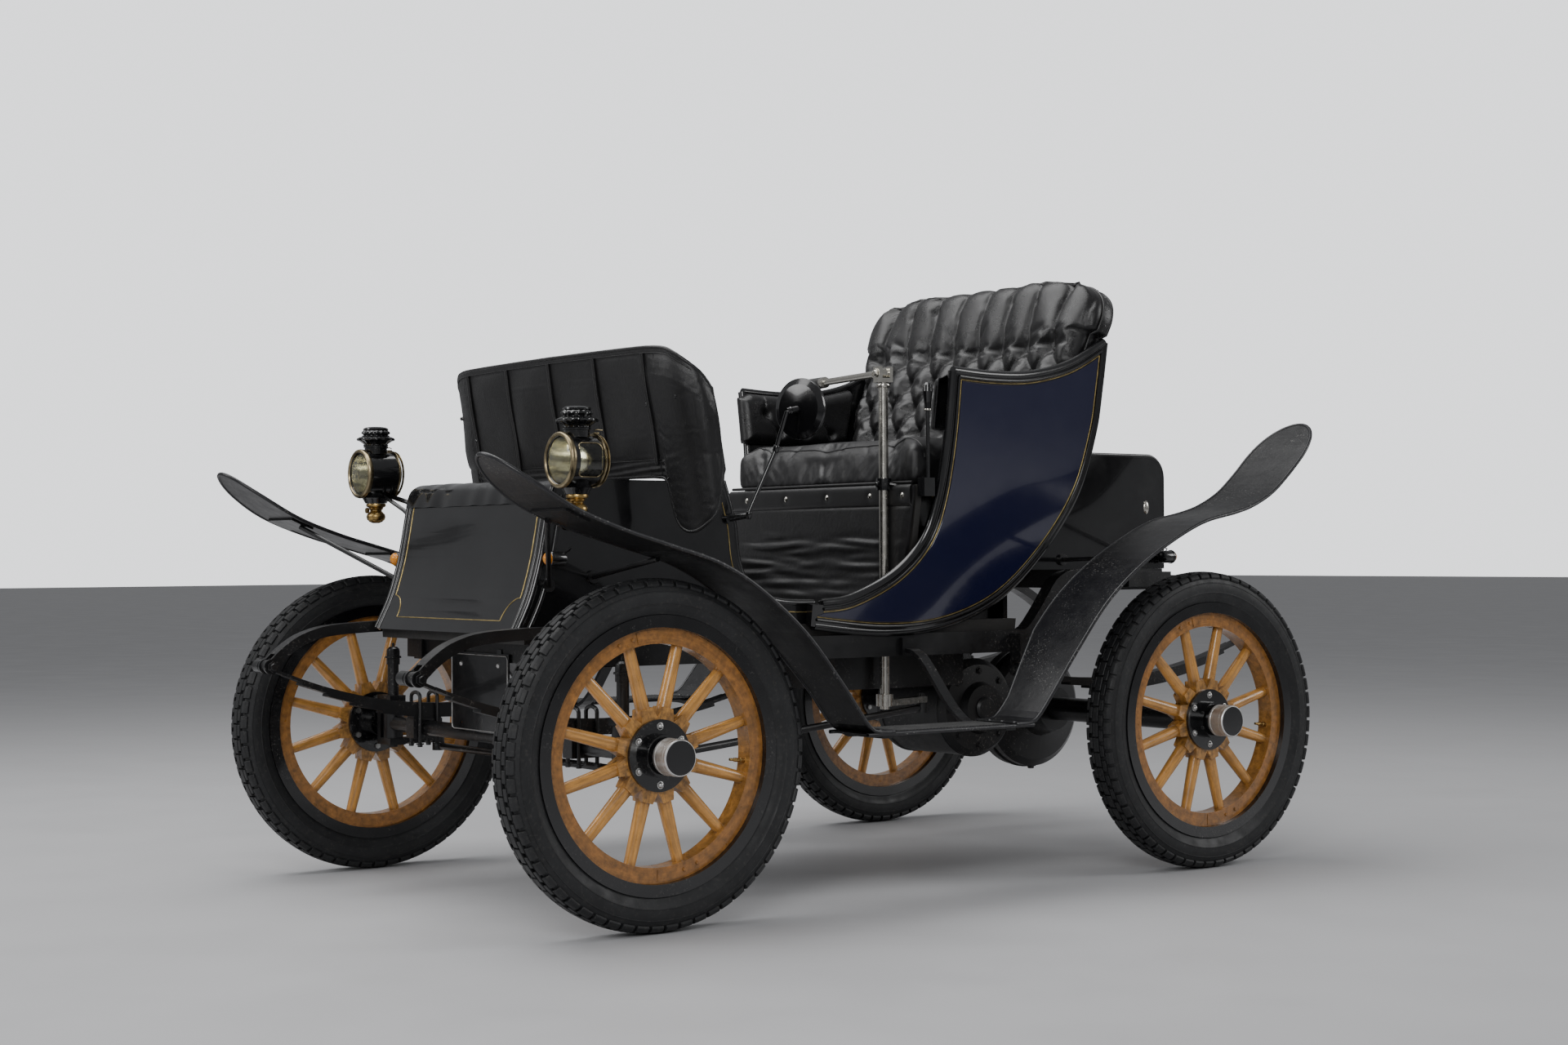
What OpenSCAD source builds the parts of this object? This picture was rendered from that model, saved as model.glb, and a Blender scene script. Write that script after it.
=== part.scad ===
// Early electric runabout of the brass era: tiller steering, wood spoke wheels, leaf springs,
// a boat-shaped body between two boxes, a leather dash and swept ribbon fenders.
// Front is -Y, the car's left side is +X, up is +Z, and the origin is on the floor under the middle.

/* [Layout] */
// Length over the front and rear spring eyes
overall_length = 2608; // [2500:1:2720]
// Distance between front and rear axle
wheelbase = 1690; // [1640:1:1760]
// How far the front axle stands ahead of the middle of the car
front_axle_ahead = 867; // [840:1:890]
// Distance between the wheel centre planes
track = 1340; // [1330:1:1420]

/* [Wheels] */
// Outer diameter of the tyre
tyre_diameter = 762; // [700:1:790]
// Width of the tyre's section
tyre_section = 89; // [70:1:96]
// Radial height of the wooden felloe
felloe_height = 35; // [26:1:44]
// Width of the felloe along the axle
felloe_width = 44; // [36:1:56]
// Number of spokes in each wheel
spoke_count = 12; // [10:1:14]
// Diameter of a spoke at the felloe
spoke_diameter = 25; // [20:1:32]
// Diameter of the hub's clamping flanges
flange_diameter = 156; // [140:1:176]
// Diameter of the hub cap
cap_diameter = 78; // [64:1:90]
// Diameter of the axle spindle
spindle_diameter = 30; // [24:1:40]

/* [Running gear] */
// Distance from the car's middle to a spring
spring_offset = 380; // [378:1:386]
// Width of the spring leaves
spring_width = 36; // [30:1:38]
// Thickness of one leaf
leaf_thickness = 7; // [5:0.5:8]
// Number of leaves in a spring
leaf_count = 5; // [4:1:6]
// Height of the frame rails
rail_height = 56; // [44:1:64]
// Width of the frame rails
rail_width = 40; // [34:1:44]
// Diameter of the front axle tube
axle_diameter = 38; // [32:1:46]
// Distance from the car's middle to a kingpin
kingpin_offset = 550; // [540:1:560]
// Diameter of the kingpin
kingpin_diameter = 22; // [18:1:26]
// Diameter of the differential drum
drum_diameter = 330; // [290:1:340]
// Diameter of the drive motor
motor_diameter = 260; // [220:1:264]

/* [Body] */
// Half width of the front and rear boxes
box_half_width = 345; // [320:1:346]
// Thickness of the wooden body panels
panel_thickness = 18; // [12:1:22]
// Height of the body's underside
body_bottom = 612; // [600:1:620]
// Thickness of the floor
floor_thickness = 30; // [20:1:34]
// Height of the front box
front_box_top_z = 985; // [950:1:1010]
// Height of the rear box
rear_box_top_z = 1078; // [1060:1:1100]
// Height of the rear box's underside
rear_box_bottom_z = 768; // [750:1:790]
// Thickness of the rear lid
lid_thickness = 10; // [8:1:16]

/* [Seat] */
// Height of the seat deck
deck_z = 985; // [970:1:1000]
// Thickness of the seat cushion
cushion_height = 115; // [90:1:130]
// Thickness of the back cushion
back_thickness = 70; // [50:1:84]
// Angle of the seat back from upright
back_angle = 21.3; // [18:0.1:23]
// Thickness of the side pads
pad_thickness = 34; // [24:1:40]

/* [Fenders] */
// Distance from the car's middle to a fender's outer edge
fender_outer = 765; // [755:1:790]
// Width of a fender
fender_width = 192; // [170:1:200]
// Thickness of the fender sheet
fender_thickness = 4; // [3:0.5:6]
// Height of the step tread
step_z = 405; // [385:1:410]
// Width of a step
step_width = 146; // [120:1:160]

/* [Controls and lamps] */
// Height of the tiller's pivot
tiller_top_z = 1268; // [1230:1:1300]
// Diameter of the tiller post
post_diameter = 24; // [20:1:27]
// Length of the tiller bar
tiller_length = 470; // [430:1:500]
// Diameter of a lamp's lens rim
lamp_rim_diameter = 125; // [110:1:140]
// Distance from the car's middle to a lamp
lamp_offset = 489; // [480:1:500]
// Diameter of the mirror
mirror_diameter = 145; // [120:1:170]

/* [Hidden] */
$fn = 64;
fit = 0.3;
run = 0.06;
big = 4000;

wheel_r = tyre_diameter / 2;
axle_z = wheel_r;
wheel_x = track / 2;
front_axle_y = -front_axle_ahead;
rear_axle_y = front_axle_y + wheelbase;
half_length = overall_length / 2;

// Wheel
tyre_core_r = wheel_r - tyre_section / 2;
rim_band = 6;
rim_lip = 4;
rim_seat_r = wheel_r - tyre_section - 11;
rim_half = 0.4 * tyre_section;
rim_lip_r = rim_seat_r + 21;
felloe_out_r = rim_seat_r - rim_band;
felloe_in_r = felloe_out_r - felloe_height;
spoke_r = spoke_diameter / 2;
flange_r = flange_diameter / 2;
flange_t = 8;
butt_r = flange_r + 27;
barrel_r = 34;
hub_in = 58;
boss_out = 50;
cap_in = 62;
cap_out = 108;
spindle_r = spindle_diameter / 2;
spindle_end = 66;

// Running gear
rail_bottom = body_bottom - rail_height;
rail_out = spring_offset - 20;
rail_in = rail_out - rail_width;
iron_width = 40;
eye_r = 18;
eye_pin_r = 8;
eye_width = 24;
fork_slot = eye_width + 2 * fit;
front_eye = [-(half_length - eye_r), 547];
front_rear_eye = [-432, 495];
rear_front_eye = [458, 510];
rear_eye = [half_length - eye_r, 575];
front_sag = 78;
rear_sag = 58;
pack_height = leaf_count * leaf_thickness;
spring_pad = 4;
axle_r = axle_diameter / 2;
kingpin_r = kingpin_diameter / 2;
boss_r = kingpin_r + 14;
boss_top = axle_z + 56;
boss_bottom = axle_z - 36;
ear = 17;
arm_t = 16;
knuckle_out = kingpin_offset + 46;
drag_arm = [-60, 170];
tie_arm = [0, 130];
post_xy = [300, 72];
post_r = post_diameter / 2;
post_bottom = 420;
post_arm_z = 428;
drum_r = drum_diameter / 2;
motor_r = motor_diameter / 2;
motor_y = rear_axle_y - drum_r - motor_r - 8;
neck_y = rear_axle_y - drum_r - 4;

// Body
floor_top = body_bottom + floor_thickness;
lean = 0.147;
lean_angle = atan(lean);
side_out_x = 370;
side_t = 22;
side_z0 = 620;
panel_bottom = 634;
front_t = 16;
top_t = 12;
seam_y = -215;
bulkhead_y = -462;
riser_y = 97;
seat_back_y = 437;
shell_t = 14;
rear_wall_y = 470;
box_rear_y = 1023;
lid_front_y = 678;
lid_rear_bottom = 905;
lid_corner = 60;
box_rear_t = 14;

// Points of the side view: each pair is y, z
front_profile = [[-1022, panel_bottom], [-985, 710], [-960, 790], [-947, 850], [-938, 900], [-929, 948]];
top_roll = [[-929, 948], [-920, 969], [-902, 981], [-880, front_box_top_z]];
entry = [[-452, front_box_top_z], [-422, 888], [-407, 790], [-370, 728], [-290, 697], [-182, 691],
         [-90, 703], [37, 760], [122, 843], [158, 949], [172, 1100], [171, 1268]];
panel_top = [[171, 1268], [300, 1262], [430, 1268], [560, 1300], [678, 1363]];
panel_rear = [[678, 1363], [676, 1250], [668, 1127], [626, 968], [524, 819], [382, 696], [208, 632],
              [15, 618], [seam_y, 640]];
front_fender_line = [[-1284, 1020], [-1220, 970], [-1123, 911], [-1004, 866], [-882, 831], [-755, 793],
                     [-647, 735], [-526, 638], [-424, 521], [-350, step_z + 20], [-318, step_z + 2.3]];
rear_fender_line = [[138, step_z + 2.3], [176, step_z + 26], [287, 567], [396, 690],
                    [507, 776], [621, 840], [737, 889], [850, 913], [918, 932], [990, 966], [1053, 1014],
                    [1104, 1060], [1160, 1112], [1206, 1152]];
step_front_y = -352;
step_rear_y = 152;
tread_front_y = -262;
tread_length = 344;
tread_t = 3;
fender_x = fender_outer - fender_width;
iron_t = 5;

// A smooth curve through the points, with steps between each two
function spline_point(a, b, c, d, t) =
    0.5 * (2 * b + (c - a) * t + (2 * a - 5 * b + 4 * c - d) * t * t + (3 * b - a - 3 * c + d) * t * t * t);
function curve(p, steps = 5) = concat(
    [for (i = [0:len(p) - 2]) for (j = [0:steps - 1])
        spline_point(p[max(i - 1, 0)], p[i], p[i + 1], p[min(i + 2, len(p) - 1)], j / steps)],
    [p[len(p) - 1]]);
function reversed(p) = [for (i = [len(p) - 1:-1:0]) p[i]];
function unit(v) = v / norm(v);
function heading(p, i) = unit(p[min(i + 1, len(p) - 1)] - p[max(i - 1, 0)]);
// The same curve moved to its left by d
function beside(p, d) = [for (i = [0:len(p) - 1]) p[i] + d * [-heading(p, i)[1], heading(p, i)[0]]];
function ribbon(p, low, high) = concat(beside(p, low), reversed(beside(p, high)));
function part_of(p, first, last) = [for (i = [first:last]) p[i]];
function arc_points(c, r, from, to, steps) =
    [for (i = [0:steps]) c + r * [cos(from + (to - from) * i / steps), sin(from + (to - from) * i / steps)]];
// Inner face of the leaning side panel at height z
function panel_in(z) = side_out_x - side_t + lean * (z - side_z0);

// A side-view outline made solid from x to x + w
module side_solid(points, x, w) {
    translate([x, 0, 0]) rotate([90, 0, 90]) linear_extrude(w) polygon(points);
}

// A front-view outline made solid from y to y + d
module front_solid(points, y, d) {
    translate([0, y + d, 0]) rotate([90, 0, 0]) linear_extrude(d) polygon(points);
}

module both_sides() {
    children();
    mirror([1, 0, 0]) children();
}

module rod(from, to, r) {
    v = to - from;
    tilt = acos(v[2] / norm(v));
    turn = atan2(v[1], v[0]);
    translate(from) rotate([0, tilt, turn]) cylinder(r = r, h = norm(v));
}

module x_cylinder(x, w, y, z, r) {
    translate([x, y, z]) rotate([0, 90, 0]) cylinder(r = r, h = w);
}

// ---- Wheels, drawn about Z with the outer side up ----

module tyre() {
    color([0.11, 0.11, 0.11]) rotate_extrude() union() {
        translate([tyre_core_r, 0]) circle(r = tyre_section / 2);
        translate([rim_seat_r + fit, -rim_half + rim_lip + fit])
            square([tyre_core_r - rim_seat_r, 2 * (rim_half - rim_lip - fit)]);
    }
}

module steel_rim() {
    rotate_extrude() difference() {
        translate([felloe_out_r, -rim_half]) square([rim_lip_r - felloe_out_r, 2 * rim_half]);
        translate([rim_seat_r, -rim_half + rim_lip]) square([rim_lip_r, 2 * (rim_half - rim_lip)]);
    }
}

// The spokes' wedge-shaped butts meet round the hub as one star
function butt_star() = [for (i = [0:spoke_count - 1]) let (mid = (i + 0.5) * 360 / spoke_count,
    side = atan((spoke_r + 1) / butt_r), half = 180 / spoke_count)
    each [flange_r / cos(half) * [cos(mid - half), sin(mid - half)],
          butt_r * [cos(mid - side), sin(mid - side)], butt_r * [cos(mid + side), sin(mid + side)]]];

module spoke() {
    translate([butt_r - 12, 0, 0]) rotate([0, 90, 0])
        cylinder(r1 = spoke_r + 3.5, r2 = spoke_r, h = felloe_in_r - butt_r + 22);
}

module wood_wheel() {
    butt_t = felloe_width - 4;
    color([0.72, 0.43, 0.13]) {
        rotate_extrude() translate([felloe_in_r, -felloe_width / 2]) square([felloe_height - fit, felloe_width]);
        difference() {
            translate([0, 0, -butt_t / 2]) linear_extrude(butt_t) polygon(butt_star());
            cylinder(r = barrel_r + fit, h = big, center = true);
        }
        for (i = [0:spoke_count - 1]) rotate([0, 0, (i + 0.5) * 360 / spoke_count]) spoke();
    }
}

module hub() {
    flange_z = felloe_width / 2 - 2;
    color([0.05, 0.05, 0.05]) difference() {
        union() {
            translate([0, 0, -hub_in]) cylinder(r = barrel_r, h = hub_in + cap_in);
            translate([0, 0, -flange_z - flange_t]) cylinder(r = flange_r, h = flange_t);
            translate([0, 0, flange_z]) cylinder(r = flange_r, h = flange_t);
            translate([0, 0, flange_z]) cylinder(r = barrel_r + 13, h = boss_out - flange_z);
            translate([0, 0, cap_in - 2]) cylinder(r = cap_diameter / 2, h = cap_out - cap_in);
            translate([0, 0, cap_in - 2]) cylinder(r = cap_diameter / 2 - 2, h = cap_out - cap_in + 2);
        }
        translate([0, 0, -hub_in - 1]) cylinder(r = spindle_r + run, h = hub_in + spindle_end + 3);
    }
}

module place_wheel(side, y) {
    mirror([side > 0 ? 0 : 1, 0, 0]) translate([wheel_x, y, axle_z]) rotate([0, 90, 0]) children();
}

module wheel_tyre(side, y) {
    place_wheel(side, y) tyre();
}

module wheel_spokes(side, y) {
    place_wheel(side, y) wood_wheel();
}

module wheel_hub(side, y) {
    place_wheel(side, y) {
        hub();
        color([0.06, 0.06, 0.06]) steel_rim();
    }
}

// ---- Frame ----

kick = [[474, 0], [506, 8], [556, 64], [606, 128], [650, 151], [704, 156]];
rear_rail_rise = rear_box_bottom_z - body_bottom;
function rail_line() = concat([[front_axle_y - 38, body_bottom]],
    curve([for (k = kick) [k[0], body_bottom + k[1] * rear_rail_rise / 156]], 3),
    [[box_rear_y - 23, rear_box_bottom_z]]);

module chassis_rails() {
    line = rail_line();
    low = [for (p = line) [p[0], p[1] - rail_height]];
    color([0.05, 0.05, 0.05]) both_sides()
        side_solid(concat(line, reversed(low)), rail_in, rail_width);
}

module cross_member(y, d, z, h) {
    translate([-rail_in, y, z]) cube([2 * rail_in, d, h]);
}

module cross_members() {
    color([0.05, 0.05, 0.05]) {
        cross_member(front_axle_y - 30, 44, rail_bottom + 4, rail_height - 4);
        cross_member(front_rear_eye[0] - 20, 40, rail_bottom + 4, rail_height - 4);
        cross_member(0, 40, rail_bottom + 60 - rail_height, rail_height - 6);
        cross_member(box_rear_y - 70, 40, rear_box_bottom_z - rail_height, rail_height - fit);
    }
}

// A forged iron beside the rail that curves out to a forked spring eye
module horn(line, eye, rail_bar) {
    difference() {
        union() {
            side_solid(ribbon(curve(line, 5), -13, 13), rail_out, iron_width);
            side_solid(rail_bar, rail_out, iron_width);
            x_cylinder(rail_out, iron_width, eye[0], eye[1], eye_r);
        }
        translate([spring_offset - fork_slot / 2, eye[0] - 34, eye[1] - 48]) cube([fork_slot, 68, 78]);
    }
    x_cylinder(rail_out - 10, iron_width + 20, eye[0], eye[1], eye_pin_r);
}

module spring_horns() {
    front_line = [front_eye + [2, 2], front_eye + [42, 38], front_eye + [95, 68], front_eye + [182, 86],
                  [front_axle_y - 27, 638], [front_axle_y + 40, 612], [front_axle_y + 100, 586]];
    front_bar = [[front_axle_y - 36, rail_bottom + 4], [front_axle_y + 170, rail_bottom + 4],
                 [front_axle_y + 170, body_bottom - 6], [front_axle_y - 36, body_bottom - 6]];
    rear_line = [[box_rear_y - 150, rear_box_bottom_z - 30], [box_rear_y - 40, rear_box_bottom_z - 30],
                 [box_rear_y + 80, rear_box_bottom_z - 48], rear_eye + [-70, 88], rear_eye + [-26, 42],
                 rear_eye + [-2, 4]];
    rear_bar = [[box_rear_y - 190, rear_box_bottom_z - 48], [box_rear_y - 30, rear_box_bottom_z - 48],
                [box_rear_y - 30, rear_box_bottom_z - 8], [box_rear_y - 190, rear_box_bottom_z - 8]];
    color([0.05, 0.05, 0.05]) {
        both_sides() horn(front_line, front_eye, front_bar);
        both_sides() horn(rear_line, rear_eye, rear_bar);
        for (side = [-1, 1])
            x_cylinder(side * spring_offset - iron_width / 2 - 40, 32, front_eye[0], front_eye[1], eye_r - 2);
    }
}

module hanger(eye) {
    difference() {
        translate([rail_out, eye[0] - 17, eye[1] - 16])
            cube([iron_width, 34, body_bottom - 8 - eye[1] + 16]);
        translate([spring_offset - fork_slot / 2, eye[0] - 40, eye[1] - 40]) cube([fork_slot, 80, 64]);
    }
    x_cylinder(rail_out - 4, iron_width + 10, eye[0], eye[1], eye_pin_r);
}

module spring_hangers() {
    color([0.05, 0.05, 0.05]) both_sides() {
        hanger(front_rear_eye);
        hanger(rear_front_eye);
    }
}

// Leaves as rings about one centre: the main leaf runs from eye to eye, the others get shorter
function arc_r(chord, sag) = (chord * chord / 4 + sag * sag) / (2 * sag);

module leaf(r, half_angle, t, tilt) {
    rotate([0, 90, 0]) rotate([0, 0, tilt - half_angle]) rotate_extrude(angle = 2 * half_angle)
        translate([r, -spring_width / 2]) square([t, spring_width]);
}

module leaf_spring(eye_a, eye_b, sag) {
    chord = norm(eye_b - eye_a);
    r = arc_r(chord, sag);
    along = unit(eye_b - eye_a);
    up = [-along[1], along[0]];
    centre = (eye_a + eye_b) / 2 + (r - sag) * up;
    slope = atan2(along[1], along[0]);
    half = asin(chord / 2 / r);
    difference() {
        union() {
            translate([0, centre[0], centre[1]]) for (i = [0:leaf_count - 1])
                leaf(r + i * leaf_thickness - (i > 0 ? 0.5 : 0), half * (1 - 0.17 * i) - (i > 0 ? 0.8 : 0),
                    leaf_thickness + (i > 0 ? 0.5 : 0), slope);
            for (e = [eye_a, eye_b]) x_cylinder(-eye_width / 2, eye_width, e[0], e[1] + 2, 14);
        }
        for (e = [eye_a, eye_b]) {
            x_cylinder(-big / 2, big, e[0], e[1], eye_pin_r + 0.1);
            for (s = [-1, 1]) translate([s * (eye_width / 2 + 20) - 20, e[0] - 42, e[1] - 40])
                cube([40, 84, 90]);
        }
    }
}

module front_springs() {
    color([0.07, 0.07, 0.07]) both_sides() translate([spring_offset, 0, 0]) {
        leaf_spring(front_eye, front_rear_eye, front_sag);
        spring_block(front_axle_y, front_seat_z, front_seat_z + spring_pad + 3);
    }
}

module rear_springs() {
    color([0.07, 0.07, 0.07]) both_sides() translate([spring_offset, 0, 0]) {
        leaf_spring(rear_front_eye, rear_eye, rear_sag);
        spring_block(rear_axle_y, rear_seat_z, rear_seat_z + spring_pad + 3);
    }
}

module spring_block(y, z_low, z_high) {
    translate([-spring_width / 2, y - 38, z_low]) cube([spring_width, 76, z_high - z_low]);
}

// Height of the lowest leaf's underside at y
function spring_underside(a, b, sag, y) =
    let (r = arc_r(norm(b - a), sag), along = unit(b - a), up = [-along[1], along[0]],
         c = (a + b) / 2 + (r - sag) * up, out = r + pack_height)
    c[1] - sqrt(out * out - (y - c[0]) * (y - c[0]));

axle_tube_r = 32;
front_seat_z = spring_underside(front_eye, front_rear_eye, front_sag, front_axle_y) - spring_pad;
rear_seat_z = spring_underside(rear_front_eye, rear_eye, rear_sag, rear_axle_y) - spring_pad;

// A block clamped round an axle, with a flat top for the spring
module spring_seat(y, r, top) {
    translate([spring_offset - spring_width / 2 - 2, y - 40, axle_z - r - 6])
        cube([spring_width + 4, 80, top - axle_z + r + 6]);
}

module front_axle() {
    color([0.05, 0.05, 0.05]) {
        difference() {
            union() {
                x_cylinder(-kingpin_offset + 8, 2 * kingpin_offset - 16, front_axle_y, axle_z, axle_r);
                both_sides() {
                    translate([kingpin_offset, front_axle_y, boss_bottom])
                        cylinder(r = boss_r, h = boss_top - boss_bottom);
                    spring_seat(front_axle_y, axle_r, front_seat_z);
                }
            }
            both_sides() translate([kingpin_offset, front_axle_y, 0])
                cylinder(r = kingpin_r + run, h = big);
        }
    }
}

module rear_axle() {
    color([0.05, 0.05, 0.05]) {
        x_cylinder(-wheel_x + hub_in + 4, 2 * (wheel_x - hub_in - 4), rear_axle_y, axle_z, axle_tube_r);
        both_sides() {
            x_cylinder(wheel_x - hub_in - 8, hub_in + spindle_end + 8, rear_axle_y, axle_z, spindle_r);
            spring_seat(rear_axle_y, axle_tube_r, rear_seat_z);
        }
        translate([0, rear_axle_y, axle_z]) rotate([0, 90, 0]) rotate_extrude()
            polygon([[0, -120], [60, -120], [78, -62], [drum_r - 18, -46], [drum_r, -30], [drum_r, 30],
                     [drum_r - 18, 46], [78, 62], [60, 120], [0, 120]]);
        translate([-60, neck_y, axle_z - 40]) cube([120, drum_r, 110]);
    }
}

module drive_motor() {
    color([0.06, 0.06, 0.06]) {
        translate([0, motor_y, axle_z + 16]) rotate([0, 90, 0]) rotate_extrude()
            polygon([[0, -172], [62, -172], [70, -150], [motor_r - 14, -146], [motor_r, -130],
                     [motor_r, 130], [motor_r - 14, 146], [70, 150], [62, 172], [0, 172]]);
        translate([-56, motor_y, axle_z - 36]) cube([112, neck_y - motor_y, 102]);
        translate([-30, motor_y - 30, axle_z + 60]) cube([60, 60, rail_bottom + 4 - axle_z - 60]);
    }
}

module battery_blocks() {
    tray_h = 90;
    color([0.07, 0.07, 0.07]) {
        translate([-268, -60, rail_bottom + 4 - tray_h]) cube([536, motor_y - motor_r - 30 + 60, tray_h]);
        translate([-290, bulkhead_y - 330, floor_top]) cube([580, 310, 240]);
        translate([-290, riser_y + 30, floor_top]) cube([580, 300, 240]);
    }
}

// ---- Body ----

function panel_face() = curve(front_profile, 3);

module front_panel() {
    face = panel_face();
    back = [for (p = face) [p[0] + front_t, p[1]]];
    color([0.04, 0.04, 0.045])
        side_solid(concat(face, reversed(back)), -box_half_width, 2 * box_half_width);
}

module front_box_top() {
    roll = concat(curve(top_roll, 4), [entry[0]]);
    color([0.04, 0.04, 0.045]) side_solid(
        concat([[roll[0][0] + front_t, roll[0][1]]], roll, [roll[len(roll) - 1] - [0, top_t]],
            [[-880, front_box_top_z - top_t], [-902, 967], [-911, 958]]),
        -box_half_width, 2 * box_half_width);
}

module front_box_sides() {
    back = [for (p = panel_face()) if (p[1] >= floor_top) [p[0] + front_t, p[1]]];
    edge = [for (p = curve(part_of(entry, 0, 5), 5)) if (p[1] < front_box_top_z - top_t) p];
    foot_y = back[0][0] - (back[0][1] - floor_top) * 0.5;
    color([0.04, 0.04, 0.045]) both_sides() side_solid(
        concat([[foot_y + 2, floor_top]], back,
            [[-911, 958], [-902, 967], [-880, front_box_top_z - top_t], [edge[0][0] - 1, front_box_top_z - top_t]],
            edge, [[entry[5][0], floor_top]]),
        box_half_width - panel_thickness, panel_thickness);
}

module front_bulkhead() {
    half = box_half_width - panel_thickness;
    color([0.06, 0.06, 0.06]) translate([-half, bulkhead_y - 12, floor_top])
        cube([2 * half, 12, front_box_top_z - top_t - floor_top]);
}

module body_floor() {
    low = panel_in(body_bottom) - fit;
    high = panel_in(floor_top) - fit;
    color([0.06, 0.06, 0.06]) difference() {
        front_solid([[-low, body_bottom], [low, body_bottom], [high, floor_top], [-high, floor_top]],
            -998, rear_wall_y + 998);
        translate([post_xy[0], post_xy[1], 0]) cylinder(r = post_r + 4, h = big);
    }
}

// Side-view outline stretched along the leaning plane
function leaned(p) = [for (q = p) [q[0], (q[1] - side_z0) / cos(lean_angle)]];

module side_panels() {
    entry_rear = [for (p = curve(part_of(entry, 5, 11), 5)) if (p[0] > seam_y) p];
    outline = concat([[seam_y, 692]], entry_rear, part_of(curve(panel_top, 4), 1, 16),
        part_of(curve(panel_rear, 5), 1, 40));
    color([0.035, 0.05, 0.13]) both_sides() translate([side_out_x - side_t, 0, side_z0])
        rotate([0, lean_angle, 0]) rotate([90, 0, 90])
        linear_extrude(side_t * cos(lean_angle)) polygon(leaned(outline));
}

module seat_riser() {
    low = panel_in(floor_top) - fit;
    high = panel_in(deck_z) - fit;
    deck_low = panel_in(deck_z - 20) - fit;
    color([0.08, 0.08, 0.08]) {
        front_solid([[-low, floor_top], [low, floor_top], [high, deck_z], [-high, deck_z]], riser_y, 18);
        front_solid([[-deck_low, deck_z - 20], [deck_low, deck_z - 20], [high, deck_z], [-high, deck_z]],
            riser_y, rear_wall_y + 60 - riser_y);
    }
}

module seat_apron() {
    low = panel_in(floor_top) - 22;
    high = panel_in(deck_z) - 3;
    color([0.07, 0.07, 0.07])
        front_solid([[-low, floor_top + fit], [low, floor_top + fit], [high, deck_z - 2], [-high, deck_z - 2]],
            riser_y - 9, 9 - fit);
}

cushion_half = panel_in(deck_z) - 7;

module seat_cushion() {
    r = 26;
    y0 = riser_y - 9;
    y1 = seat_back_y - 1;
    z0 = deck_z + fit;
    z1 = deck_z + cushion_height;
    color([0.07, 0.07, 0.07]) side_solid(concat([[y1, z0]],
        arc_points([y1 - 12, z1 - 12], 12, 0, 90, 4), arc_points([y0 + r, z1 - r], r, 90, 180, 6),
        [[y0, z0]]), -cushion_half, 2 * cushion_half);
}

// Half outline of the seat back, along its own slope
back_half = [[394, 0], [430, 260], [448, 430], [449, 450], [474, 458], [478, 500], [464, 542],
    [430, 574], [380, 592], [250, 605], [110, 611], [0, 613]];

module back_slab(near, far, inset) {
    lower = [for (p = part_of(back_half, 0, 3)) [p[0] - inset, p[1]]];
    upper = [for (p = curve(part_of(back_half, 4, 11), 3)) [p[0] * (1 - inset / 478), p[1] - inset]];
    half = concat(lower, upper);
    left = [for (p = reversed(part_of(half, 0, len(half) - 2))) [-p[0], p[1]]];
    intersection() {
        translate([0, seat_back_y, deck_z]) rotate([-back_angle, 0, 0])
            front_solid(concat(half, left), near, far - near);
        translate([-big / 2, -big / 2, deck_z + fit]) cube([big, big, big]);
    }
}

module seat_back_cushion() {
    color([0.07, 0.07, 0.07]) back_slab(0, back_thickness, 0);
}

module seat_back_shell() {
    color([0.05, 0.05, 0.05]) back_slab(back_thickness + fit, back_thickness + shell_t, 0.1);
}

module seat_side_pads() {
    rise = tan(back_angle);
    y_low = seat_back_y + (1122 - deck_z) * rise - 3;
    y_high = seat_back_y + (1290 - deck_z) * rise - 3;
    outline = [[140, 1122], [y_low, 1122], [y_high, 1290], [430, 1263], [300, 1257], [176, 1262], [150, 1250]];
    color([0.06, 0.06, 0.07]) both_sides() translate([side_out_x - side_t - fit, 0, side_z0])
        rotate([0, lean_angle, 0]) rotate([90, 0, 90]) translate([0, 0, -pad_thickness])
        linear_extrude(pad_thickness) polygon(leaned(outline));
}

// Outline of the rear box's sides, under the lid
function shell_rear_y(z) = seat_back_y + (back_thickness + shell_t) / cos(back_angle)
    + (z - deck_z) * tan(back_angle);

function box_side_outline() = let (c = [box_rear_y - lid_corner, rear_box_top_z - lid_corner],
    inner_top = rear_box_top_z - lid_thickness - fit)
    concat([[rear_wall_y, rear_box_bottom_z], [box_rear_y, rear_box_bottom_z],
        [box_rear_y, lid_rear_bottom - 1], [box_rear_y - lid_thickness - fit, lid_rear_bottom - 1]],
        arc_points(c, lid_corner - lid_thickness - fit, 0, 90, 8),
        [[lid_front_y, inner_top], [lid_front_y - 1, inner_top], [lid_front_y - 1, rear_box_top_z],
         [shell_rear_y(rear_box_top_z) + 1, rear_box_top_z], [shell_rear_y(deck_z) + 3, deck_z + 4],
         [rear_wall_y + 62, deck_z + 4], [rear_wall_y + 62, deck_z - 20 - fit],
         [rear_wall_y, deck_z - 20 - fit]]);

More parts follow.
